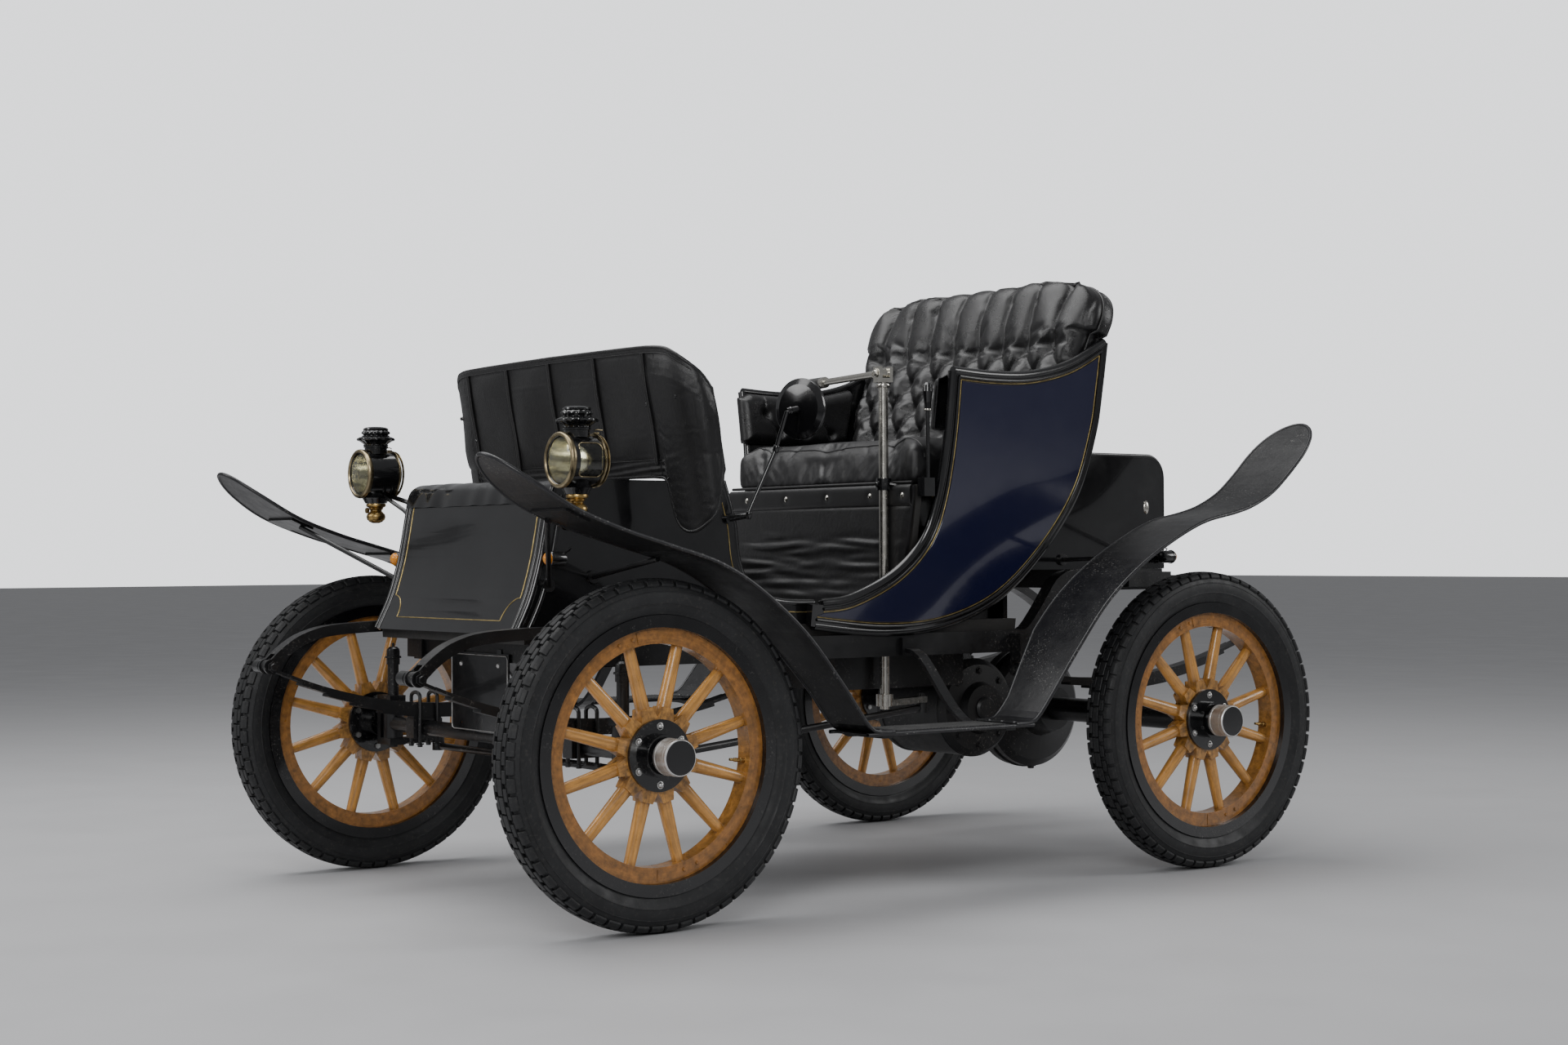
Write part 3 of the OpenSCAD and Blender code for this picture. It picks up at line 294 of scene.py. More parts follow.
def block(size, place, rounding=0.0, segments=2):
    """A rounded block, shaped from a cube."""
    clear()
    bpy.ops.mesh.primitive_cube_add(size=1, location=place, scale=size)
    piece = settle(bpy.context.object)
    return bevelled(piece, rounding, segments) if rounding else piece


def outlined(points, push):
    """A plate: an outline of points in space, filled and pushed along a vector."""
    clear()
    bpy.ops.mesh.primitive_circle_add(vertices=len(points), radius=1, fill_type="NGON")
    piece = bpy.context.object
    for vertex, point in zip(piece.data.vertices, points):
        vertex.co = point
    opened(piece)
    bpy.ops.mesh.extrude_region_move(TRANSFORM_OT_translate={"value": push})
    bpy.ops.mesh.select_all(action="SELECT")
    return closed(piece)


def profile_line(points):
    """A string of edges through the points, extruded point by point."""
    clear()
    bpy.ops.mesh.primitive_plane_add(size=0.001, location=(0, 0, 0))
    piece = bpy.context.object
    bpy.ops.object.mode_set(mode="EDIT")
    bpy.ops.mesh.merge(type="CENTER")
    bpy.ops.transform.translate(value=points[0])
    for a, b in zip(points, points[1:]):
        bpy.ops.mesh.extrude_region_move(TRANSFORM_OT_translate={"value": Vector(b) - Vector(a)})
    return piece


def turned(profile, centre, axis=(1, 0, 0), steps=48, angle=math.tau):
    """A turned piece: a profile of (radius, place along the axis) spun about an axis through the centre."""
    axis, centre = Vector(axis).normalized(), Vector(centre)
    out = Vector((0, 0, 1)) if abs(axis.z) < 0.5 else Vector((0, 1, 0))
    out = (out - out.dot(axis) * axis).normalized()
    piece = profile_line([centre + r * out + t * axis for r, t in profile])
    bpy.ops.mesh.select_all(action="SELECT")
    bpy.ops.mesh.spin(steps=steps, angle=angle, center=centre, axis=axis)
    bpy.ops.object.mode_set(mode="OBJECT")
    return tidy(piece)


def ringed(piece, count, centre, axis=(1, 0, 0)):
    """Repeats a piece evenly round an axis, in the one mesh."""
    opened(piece)
    bpy.ops.mesh.spin(steps=count - 1, dupli=True, angle=math.tau * (count - 1) / count, center=centre, axis=axis)
    bpy.ops.object.mode_set(mode="OBJECT")
    return piece


def strung(points, radius, closed=False, sides=3):
    """A round bar, bead or cord along points; sides is how finely it is rounded."""
    clear()
    bpy.ops.curve.primitive_bezier_curve_add(location=(0, 0, 0))
    data = bpy.context.object.data
    data.splines.clear()
    line = data.splines.new("POLY")
    line.points.add(len(points) - 1)
    for target, point in zip(line.points, points):
        target.co = (*point, 1)
    line.use_cyclic_u = closed
    data.dimensions, data.bevel_depth, data.bevel_resolution = "3D", radius, sides
    data.use_fill_caps = not closed
    bpy.ops.object.convert(target="MESH")
    return tidy(bpy.context.object)


def arc(centre, radius, start, stop, steps, across=(0, 1, 0), up=(0, 0, 1)):
    """Points of an arc in the plane of two directions, with angles in degrees."""
    c, u, v = Vector(centre), Vector(across), Vector(up)
    turn = [math.radians(start + (stop - start) * i / steps) for i in range(steps + 1)]
    return [c + radius * (math.cos(t) * u + math.sin(t) * v) for t in turn]


def grid_piece(rows, columns, place):
    """A sheet of rows by columns points, each put in its place by a function of two shares from 0 to 1."""
    clear()
    bpy.ops.mesh.primitive_grid_add(x_subdivisions=columns - 1, y_subdivisions=rows - 1, size=2)
    piece = bpy.context.object
    for vertex in piece.data.vertices:
        u, v = (vertex.co.x + 1) / 2, (vertex.co.y + 1) / 2
        vertex.co = place(u, v)
    return piece


# ---- Finishes ----


class Finish:
    """A node material being put together on Object coordinates.

    Whatever is the same all over is set on the shader."""

    def __init__(self, name, **sockets):
        self.material = bpy.data.materials.new(name)
        self.material.use_nodes = True
        self.nodes, self.links = self.material.node_tree.nodes, self.material.node_tree.links
        self.shader = self.nodes["Principled BSDF"]
        for socket, value in sockets.items():
            self.shader.inputs[socket.replace("_", " ")].default_value = value
        self.coords = self.nodes.new("ShaderNodeTexCoord")
        self.place = self.coords.outputs["Object"]
        self.normal = None

    def node(self, kind, inputs=(), **settings):
        """A node with its settings and its inputs, each a value or another node's output."""
        made = self.nodes.new(kind)
        for name, value in settings.items():
            setattr(made, name, value)
        for key, value in dict(inputs).items():
            if isinstance(value, bpy.types.NodeSocket):
                self.links.new(value, made.inputs[key])
            else:
                made.inputs[key].default_value = value
        return made

    def moved(self, location=(0, 0, 0), scale=(1, 1, 1), rotation=(0, 0, 0)):
        return self.node("ShaderNodeMapping", {"Vector": self.place, "Location": location, "Scale": scale,
            "Rotation": rotation}).outputs[0]

    def noise(self, scale, detail=3, roughness=0.55, vector=None, distortion=0.0):
        return self.node("ShaderNodeTexNoise", {"Vector": vector or self.place, "Scale": scale, "Detail": detail,
            "Roughness": roughness, "Distortion": distortion}).outputs[0]

    def cells(self, scale, feature="DISTANCE_TO_EDGE", vector=None):
        return self.node("ShaderNodeTexVoronoi", {"Vector": vector or self.place, "Scale": scale},
            feature=feature).outputs["Distance"]

    def sum(self, operation, a, b=0.0, clamp=False):
        return self.node("ShaderNodeMath", {0: a, 1: b}, operation=operation, use_clamp=clamp).outputs[0]

    def ranged(self, value, low, high, to_low=0.0, to_high=1.0):
        return self.node("ShaderNodeMapRange", {"Value": value, "From Min": low, "From Max": high, "To Min": to_low,
            "To Max": to_high}).outputs[0]

    def ramp(self, value, *stops):
        """A colour for a value: stops are (place, colour)."""
        made = self.node("ShaderNodeValToRGB", {"Fac": value})
        band = made.color_ramp.elements
        while len(band) < len(stops):
            band.new(0.5)
        for element, (place, colour) in zip(band, stops):
            element.position, element.color = place, (*colour, 1)
        return made.outputs[0]

    def mixed(self, share, a, b):
        made = self.node("ShaderNodeMix", data_type="RGBA")
        for key, value in (("Factor", share), ("A", a), ("B", b)):
            socket = next(s for s in made.inputs if s.name == key and s.type ==
                ("VALUE" if key == "Factor" else "RGBA"))
            if isinstance(value, bpy.types.NodeSocket):
                self.links.new(value, socket)
            else:
                socket.default_value = value if key == "Factor" else (*value, 1)
        return next(s for s in made.outputs if s.type == "RGBA")

    def chips(self, fine=150, start=0.58):
        """Small rubbed and chipped spots, gathered in patches."""
        spots = self.ranged(self.noise(fine, 4, 0.7), start, start + 0.06)
        patches = self.ranged(self.noise(8, 3), 0.46, 0.6)
        return self.sum("MULTIPLY", spots, patches, clamp=True)

    def colour(self, socket):
        self.links.new(socket, self.shader.inputs["Base Color"])

    def set(self, name, socket):
        self.links.new(socket, self.shader.inputs[name])

    def bump(self, height, distance, strength=1.0):
        inputs = {"Height": height, "Distance": distance, "Strength": strength}
        if self.normal:
            inputs["Normal"] = self.normal
        self.normal = self.node("ShaderNodeBump", inputs).outputs[0]
        self.links.new(self.normal, self.shader.inputs["Normal"])


def enamel(name, colour, rough=(0.1, 0.24), dust=0.012, wear=None, coat=0.6):
    """Brushed coach enamel: deep gloss with a faint wave, polishing haze, and worn light edges."""
    f = Finish(name, Coat_Weight=coat, Coat_Roughness=0.06)
    pale = tuple(c + dust * 0.5 for c in colour)
    tone = f.ramp(f.noise(5, 5), (0.35, colour), (0.75, pale))
    if wear:
        tone = f.mixed(f.chips(), tone, wear)
    f.colour(tone)
    f.set("Roughness", f.ranged(f.noise(14, 5, 0.65), 0.3, 0.75, *rough))
    f.bump(f.noise(7, 2), 0.0025, 0.35)
    f.bump(f.noise(420, 2), 0.0002, 0.25)
    return f.material


def satin_sheet(name, colour, wear):
    """Old satin black on beaten sheet: brush marks, grime and worn grey edges."""
    f = Finish(name, Specular_IOR_Level=0.5)
    tone = f.ramp(f.noise(9, 6, 0.7), (0.3, colour), (0.8, tuple(c * 1.9 + 0.004 for c in colour)))
    specks = f.ranged(f.noise(240, 2), 0.7, 0.78)
    tone = f.mixed(f.sum("MULTIPLY", specks, 0.3), tone, (0.1, 0.098, 0.092))
    f.colour(f.mixed(f.chips(210, 0.6), tone, wear))
    f.set("Roughness", f.ranged(f.noise(22, 6, 0.7), 0.25, 0.8, 0.26, 0.48))
    f.bump(f.noise(16, 3), 0.003, 0.3)
    f.bump(f.noise(500, 3), 0.0002, 0.4)
    return f.material


def leather(name, colour, grain=620, rough=(0.24, 0.42), sheen=0.05, fold=0.0012):
    """Old black hide: pebbled grain, soft creases, rubbed shine and a little brown in the wear."""
    f = Finish(name, Sheen_Weight=sheen, Sheen_Roughness=0.45, Specular_IOR_Level=0.5)
    tone = f.ramp(f.noise(11, 6, 0.65), (0.3, colour), (0.8, tuple(c * 1.8 + 0.003 for c in colour)))
    f.colour(f.mixed(f.ranged(f.noise(60, 5), 0.62, 0.85, 0.0, 0.35), tone, (0.022, 0.019, 0.016)))
    f.set("Roughness", f.ranged(f.noise(26, 5, 0.7), 0.28, 0.75, *rough))
    f.bump(f.noise(34, 4, 0.6, distortion=0.8), fold, 0.5)
    f.bump(f.sum("POWER", f.cells(grain), 0.6), 0.0004, 0.55)
    return f.material


def rubber(name, colour):
    """Charcoal tyre rubber with dust in its hollows."""
    f = Finish(name, Specular_IOR_Level=0.4)
    dusty = f.ramp(f.noise(13, 6, 0.7), (0.3, colour), (0.8, tuple(c * 1.7 + 0.005 for c in colour)))
    f.colour(f.mixed(f.ranged(f.noise(120, 4), 0.55, 0.85, 0.0, 0.5), dusty, (0.075, 0.07, 0.062)))
    f.set("Roughness", f.ranged(f.noise(30, 5), 0.3, 0.7, 0.42, 0.66))
    f.bump(f.noise(900, 3), 0.0003, 0.5)
    f.bump(f.noise(60, 4), 0.0008, 0.3)
    return f.material


def varnished_wood(name, colour, end):
    """Varnished ash: the grain runs along each spoke and round the felloe."""
    f = Finish(name, Coat_Weight=0.55, Coat_Roughness=0.12)
    colours = [tuple(c * share for c in colour) for share in (0.42, 1, 1.45)]
    at = f.node("ShaderNodeSeparateXYZ", {0: f.moved((0, -AXLE_Y[end], -AXLE_Z))}).outputs
    out = f.sum("SQRT", f.sum("ADD", f.sum("MULTIPLY", at[1], at[1]), f.sum("MULTIPLY", at[2], at[2])))
    turn = f.sum("ARCTAN2", at[2], at[1])
    share = f.sum("DIVIDE", turn, math.tau / 12)
    which = f.sum("FLOOR", share)
    across = f.sum("MULTIPLY", f.sum("SUBTRACT", f.sum("SUBTRACT", share, which), 0.5), f.sum("MULTIPLY", out, 0.52))
    spoke = f.node("ShaderNodeCombineXYZ", {0: f.sum("ADD", f.sum("MULTIPLY", out, 5.0),
        f.sum("MULTIPLY", which, 7.3)), 1: f.sum("MULTIPLY", across, 75.0),
        2: f.sum("MULTIPLY", at[0], 75.0)}).outputs[0]
    felloe = f.node("ShaderNodeCombineXYZ", {0: f.sum("MULTIPLY", turn, 2.6), 1: f.sum("MULTIPLY", out, 85.0),
        2: f.sum("MULTIPLY", at[0], 60.0)}).outputs[0]
    rim = f.ranged(out, 0.2395, 0.2405)
    grain = f.node("ShaderNodeMix", data_type="VECTOR")
    f.links.new(rim, grain.inputs[0])
    f.links.new(spoke, grain.inputs[4])
    f.links.new(felloe, grain.inputs[5])
    vector = grain.outputs[1]
    fine = f.noise(1.6, 7, 0.68, vector, 0.9)
    pores = f.noise(5.5, 3, 0.5, vector)
    tone = f.ramp(fine, (0.28, colours[0]), (0.5, colours[1]), (0.74, colours[2]))
    tone = f.mixed(f.ranged(pores, 0.55, 0.75, 0.0, 0.55), tone, colours[0])
    tone = f.mixed(f.sum("MULTIPLY", rim, 0.6), tone, (0.33, 0.115, 0.02))
    grime = f.sum("MULTIPLY", f.ranged(f.noise(17, 5, 0.7), 0.45, 0.78), 0.6)
    near_ends = f.sum("ADD", f.ranged(out, 0.125, 0.095), f.ranged(out, 0.228, 0.241, 0.0, 0.8), clamp=True)
    tone = f.mixed(f.sum("MULTIPLY", near_ends, f.ranged(f.noise(70, 4), 0.3, 0.75), clamp=True), tone,
        tuple(c * 0.32 for c in colours[0]))
    f.colour(f.mixed(grime, tone, tuple(c * 0.72 for c in colours[0])))
    f.set("Roughness", f.ranged(f.noise(40, 4), 0.3, 0.7, 0.24, 0.42))
    f.bump(fine, 0.0006, 0.35)
    return f.material


def metal(name, colour, dark, rough=(0.2, 0.42), scratch=0.4):
    """Bare or plated metal with tarnish and fine rubbing marks."""
    f = Finish(name, Metallic=1.0)
    f.colour(f.mixed(f.ranged(f.noise(38, 6, 0.7), 0.42, 0.75), colour, dark))
    f.set("Roughness", f.ranged(f.noise(55, 5, 0.7), 0.3, 0.75, *rough))
    f.bump(f.noise(300, 3, vector=f.moved(scale=(1, 1, 0.15))), 0.0002, scratch)
    return f.material


def clear_glass(name, tint, rough=0.03):
    """Old lamp glass, a little wavy and smoky."""
    f = Finish(name, Base_Color=(*tint, 1), Transmission_Weight=1.0, IOR=1.45)
    f.set("Roughness", f.ranged(f.noise(60, 4), 0.4, 0.8, rough, rough + 0.1))
    f.bump(f.noise(25, 2), 0.0008, 0.4)
    return f.material


def amber_glass(name, colour):
    """Ribbed amber glass over a bright backing."""
    f = Finish(name, Transmission_Weight=0.35, IOR=1.45, Coat_Weight=0.5)
    f.colour(f.ramp(f.noise(160, 3), (0.3, colour), (0.75, tuple(min(1, c * 1.8) for c in colour))))
    f.set("Roughness", f.ranged(f.noise(80, 3), 0.3, 0.7, 0.12, 0.25))
    f.bump(f.cells(260, "F1"), 0.0012, 0.6)
    return f.material


def stage_floor(name, colour):
    f = Finish(name, Specular_IOR_Level=0.3)
    f.colour(f.ramp(f.noise(0.7, 3), (0.3, colour), (0.8, tuple(c * 1.04 for c in colour))))
    f.set("Roughness", f.ranged(f.noise(3, 3), 0.3, 0.7, 0.45, 0.6))
    return f.material


# Every finish's maker, base colour and the maker's other values. A colour is three numbers, a colour of the
# panel, or one of those with a share of it.
FINISHES = {
    "black_paint": (enamel, "black"),
    "chassis_paint": (enamel, "black", (0.28, 0.5), 0.01, (0.09, 0.085, 0.08), 0.15),
    "navy_paint": (enamel, "navy", (0.08, 0.2), 0.006),
    "moulding_paint": (enamel, "black", (0.16, 0.3), 0.006),
    "gold_line": (metal, "gold", (0.16, 0.11, 0.04), (0.35, 0.55), 0.1),
    "fender_paint": (satin_sheet, "black", (0.2, 0.195, 0.185)),
    "fender_edge": (satin_sheet, ("black", 2.2), (0.26, 0.255, 0.245)),
    "seat_leather": (leather, "leather", 620, (0.27, 0.38), 0.04, 0.0006),
    "back_leather": (leather, "leather", 560, (0.24, 0.34), 0.03, 0.0004),
    "apron_leather": (leather, ("leather", 1.15), 700, (0.3, 0.5), 0.06, 0.003),
    "button_leather": (leather, ("leather", 0.8), 900, (0.2, 0.36), 0.0, 0.0004),
    "dash_hide": (leather, ("leather", 0.9), 640, (0.26, 0.42), 0.04, 0.0007),
    "tyre_rubber": (rubber, "rubber"),
    "front_wood": (varnished_wood, "wood", "front"),
    "rear_wood": (varnished_wood, "wood", "rear"),
    "aged_brass": (metal, "brass", (0.12, 0.075, 0.03), (0.2, 0.45)),
    "cap_alloy": (metal, (0.8, 0.8, 0.79), (0.62, 0.61, 0.59), (0.34, 0.52), 0.3),
    "rim_brass": (metal, (0.4, 0.33, 0.2), (0.13, 0.1, 0.06), (0.22, 0.45)),
    "nickel": (metal, (0.62, 0.6, 0.55), (0.48, 0.46, 0.41), (0.16, 0.32), 0.15),
    "bright_steel": (metal, (0.55, 0.55, 0.54), (0.22, 0.21, 0.2), (0.25, 0.5)),
    "spring_steel": (enamel, "black", (0.35, 0.6), 0.014, (0.1, 0.09, 0.08), 0.0),
    "lamp_black": (enamel, "black", (0.12, 0.26), 0.008, (0.05, 0.048, 0.045)),
    "lamp_glass": (clear_glass, (0.93, 0.94, 0.86)),
    "reflector": (metal, (0.8, 0.78, 0.66), (0.45, 0.4, 0.26), (0.1, 0.3)),
    "amber_glass": (amber_glass, "amber"),
    "mirror_silver": (metal, (0.82, 0.83, 0.84), (0.6, 0.6, 0.6), (0.02, 0.07), 0.0),
    "plate_paint": (satin_sheet, (0.012, 0.012, 0.013), (0.14, 0.14, 0.14)),
    "floor_board": (leather, (0.012, 0.011, 0.01), 380, (0.5, 0.75), 0.0),
    "motor_iron": (enamel, "black", (0.38, 0.62), 0.018, (0.11, 0.1, 0.09), 0.0),
    "grip_rubber": (rubber, (0.01, 0.01, 0.01)),
    "stage_floor": (stage_floor, "floor"),
}
made_finishes = {}


def finish(name):
    """The finish of that name, made the first time it is asked for."""
    if name not in made_finishes:
        maker, colour, *values = FINISHES[name]
        colour, share = colour if isinstance(colour[0], str) and len(colour) == 2 else (colour, 1)
        if isinstance(colour, str):
            colour = tuple(c * share for c in getattr(bpy.context.scene.runabout_colours, colour))
        made_finishes[name] = maker(name, colour, *values)
    return made_finishes[name]


# Which finish each carried-over part of the frame gets; {} stands for both sides
NODE_FINISH = {
    "chassis_paint": "chassis_rails cross_members spring_horns spring_hangers front_axle rear_axle knuckle_{} "
                     "drag_link tie_rod step_irons fender_irons battery_blocks",
    "spring_steel": "front_springs rear_springs",
    "motor_iron": "drive_motor",
    "black_paint": "front_panel front_box_top front_box_sides front_bulkhead rear_box rear_lid side_panels "
                   "seat_back_shell",
    "floor_board": "body_floor seat_riser",
    "fender_paint": "front_fenders rear_fenders side_steps",
    "lamp_black": "dash_stays headlamps mirror control_lever indicators number_plate hub_front_{} hub_rear_{}",
    "lamp_glass": "headlamp_lenses",
    "aged_brass": "headlamp_founts",
    "nickel": "tiller_post tiller_bar",
    "front_wood": "spokes_front_{}",
    "rear_wood": "spokes_rear_{}",
    "seat_leather": "seat_cushion seat_back_cushion seat_side_pads",
    "apron_leather": "seat_apron",
    "dash_hide": "leather_dash",
    "tyre_rubber": "tyre_front_{} tyre_rear_{}",
}


def coat_frame():
    """Gives every carried-over part its finish."""
    for name, parts in NODE_FINISH.items():
        for part in sorted({text.format(side) for text in parts.split() for side in ("left", "right")}):
            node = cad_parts[part]
            if not node.material_slots:
                node.data.materials.append(None)
            for place in node.material_slots:
                place.material = finish(name)


# ---- Sizes and colours that a user may change ----


def size(name, description, default, low, high, unit="LENGTH"):
    return FloatProperty(name=name, description=description, default=default, min=low, max=high, unit=unit,
        precision=4)


def tint(name, description, default):
    return FloatVectorProperty(name=name, description=description, default=default, min=0, max=1, size=3,
        subtype="COLOR")


class RunaboutColours(bpy.types.PropertyGroup):
    """Base colours of the finishes."""

    black: tint("Black", "Coach black of the boxes, mouldings and ironwork", (0.0028, 0.0028, 0.0034))
    navy: tint("Navy", "Blue of the leaning side panels", (0.008, 0.0095, 0.036))
    leather: tint("Leather", "Hide of the seat and dash", (0.0052, 0.005, 0.0054))
    gold: tint("Gold line", "Pinstripes", (0.52, 0.4, 0.17))
    wood: tint("Wood", "Varnished wheel wood", (0.56, 0.27, 0.062))
    brass: tint("Brass", "Lamp founts and rims", (0.5, 0.34, 0.13))
    amber: tint("Amber", "Direction lamp glass", (0.85, 0.26, 0.01))
    rubber: tint("Rubber", "Tyres", (0.0085, 0.0088, 0.0096))
    floor: tint("Floor", "Studio floor", (0.46, 0.46, 0.47))


class RunaboutWheels(bpy.types.PropertyGroup):
    """Sizes of the tyres and wheel fittings."""

    tread_depth: size("Tread depth", "Depth of the grooves between the tread blocks", 0.0065, 0.002, 0.01)
    lugs: IntProperty(name="Shoulder blocks", description="Blocks round each shoulder of a tyre", default=62, min=30,
        max=90)
    hub_bolts: IntProperty(name="Hub bolts", description="Bolts in each hub flange", default=6, min=4, max=10)
    bolt_circle: size("Bolt circle", "Radius of the ring of hub bolts", 0.063, 0.055, 0.068)


class RunaboutBody(bpy.types.PropertyGroup):
    """Sizes of the body's mouldings and lines."""

    moulding: size("Moulding", "Radius of the rounded mouldings", 0.0085, 0.004, 0.012)
    stripe: size("Pinstripe", "Half width of a gold line", 0.0013, 0.0006, 0.003)
    inset: size("Navy inset", "Width of the black border round the navy panel", 0.024, 0.01, 0.04)
    notch: size("Corner notch", "Radius of the notched corners of the front panel's line", 0.052, 0.02, 0.08)


class RunaboutSeat(bpy.types.PropertyGroup):
    """Sizes of the upholstery."""

    tufts: IntProperty(name="Tufts across", description="Buttons in the back's full rows", default=8, min=5, max=11)
    tuft_row: size("Tuft row", "Height between two rows of buttons", 0.076, 0.05, 0.11)
    button: size("Button", "Radius of an upholstery button", 0.0062, 0.004, 0.01)
    swell: size("Cushion swell", "The most that the seat cushion's cover may swell", 0.024, 0.01, 0.03)


class RunaboutDash(bpy.types.PropertyGroup):
    """Sizes of the leather dash."""

    pleat: size("Pleat", "Distance between two seams", 0.205, 0.15, 0.25)
    seam: size("Seam", "Radius of the piped seams", 0.005, 0.003, 0.008)
    edge: size("Edge", "Radius of the bound edge", 0.0046, 0.003, 0.007)


class RunaboutFenders(bpy.types.PropertyGroup):
    """Sizes of the fenders' edges."""

    bead: size("Bead", "Radius of the wired edge", 0.0048, 0.003, 0.007)


class RunaboutLamps(bpy.types.PropertyGroup):
    """Sizes of the lamps."""

    rim: size("Ring", "Half width of the brass rings behind the drum", 0.0022, 0.001, 0.004)
    flutes: IntProperty(name="Flutes", description="Flutes round the chimney crowns", default=16, min=10, max=24)


# ---- Pieces ----


class RUNABOUT_OT_stage(bpy.types.Operator):
    """Sets the studio: a pale floor, soft lights and the camera"""

    bl_idname = "runabout.stage"
    bl_label = "Studio"

    def execute(self, context):
        clear()
        bpy.ops.mesh.primitive_plane_add(size=120, location=(0, 0, 0))
        floor = settle(context.object)
        floor.name = "studio_floor"
        floor.data.materials.append(finish("stage_floor"))
        for place, aim, width, power, name in (((-1.0, -1.2, 5.2), (0, 0, 0.6), 5.0, 300, "sky_light"),
                ((5.4, -4.6, 3.6), (0, -0.2, 0.8), 2.6, 170, "key_light"), ((-2.0, -6.6, 3.6), (0, -0.4, 0.7), 2.6,
                110, "left_light"), ((3.8, 5.0, 3.2), (0, 0.5, 0.8), 2.6, 110, "rear_light")):
            bpy.ops.object.light_add(type="AREA", location=place)
            light = context.object
            light.name = light.data.name = name
            light.data.energy, light.data.size = power, width
            light.rotation_euler = (Vector(aim) - Vector(place)).to_track_quat("-Z", "Y").to_euler()
        world = bpy.data.worlds.new("studio")
        world.use_nodes = True
        tree = world.node_tree
        tree.nodes["Background"].inputs["Color"].default_value = (0.8, 0.81, 0.83, 1)
        seen = tree.nodes.new("ShaderNodeMapRange")
        seen.inputs["To Min"].default_value, seen.inputs["To Max"].default_value = 0.34, 2.1
        tree.links.new(tree.nodes.new("ShaderNodeLightPath").outputs["Is Camera Ray"], seen.inputs["Value"])
        tree.links.new(seen.outputs[0], tree.nodes["Background"].inputs["Strength"])
        context.scene.world = world
        yaw, pitch, roll = (math.radians(a) for a in (53.603, 0.806, -0.281))
        ahead = Vector((-math.sin(yaw) * math.cos(pitch), math.cos(yaw) * math.cos(pitch), math.sin(pitch)))
        right = ahead.cross(Vector((0, 0, 1))).normalized()
        up = right.cross(ahead)
        across = math.cos(roll) * right + math.sin(roll) * up
        over = -math.sin(roll) * right + math.cos(roll) * up
        bpy.ops.object.camera_add(location=(4.8751, -3.6138, 0.8093))
        camera = context.object
        camera.rotation_euler = Matrix((across, over, -ahead)).transposed().to_euler()
        camera.data.sensor_width, camera.data.lens = 36, 53.43
        camera.data.clip_end = 200
        context.scene.camera = camera
        return {"FINISHED"}


def at_every_wheel(name, piece, coat, replaces=None, angle=40):
    """Finishes a piece made at the front left wheel and copies it to the other three, each on its own body."""
    first = done(name + "_front_left", piece, coat, replaces and replaces + "_front_left", angle,
        "wheel_front_left")
    for end, side in WHEELS[1:]:
        copy = copied(first, f"{name}_{end}_{side}", f"wheel_{end}_{side}")
        if end == "rear":
            copy.data.transform(Matrix.Translation((0, AXLE_Y["rear"] - AXLE_Y["front"], 0)))
            if coat == "front_wood":
                copy.data.materials[0] = finish("rear_wood")
        if side == "right":
            flipped(copy)
        if replaces:
            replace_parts(copy, f"{replaces}_{end}_{side}")


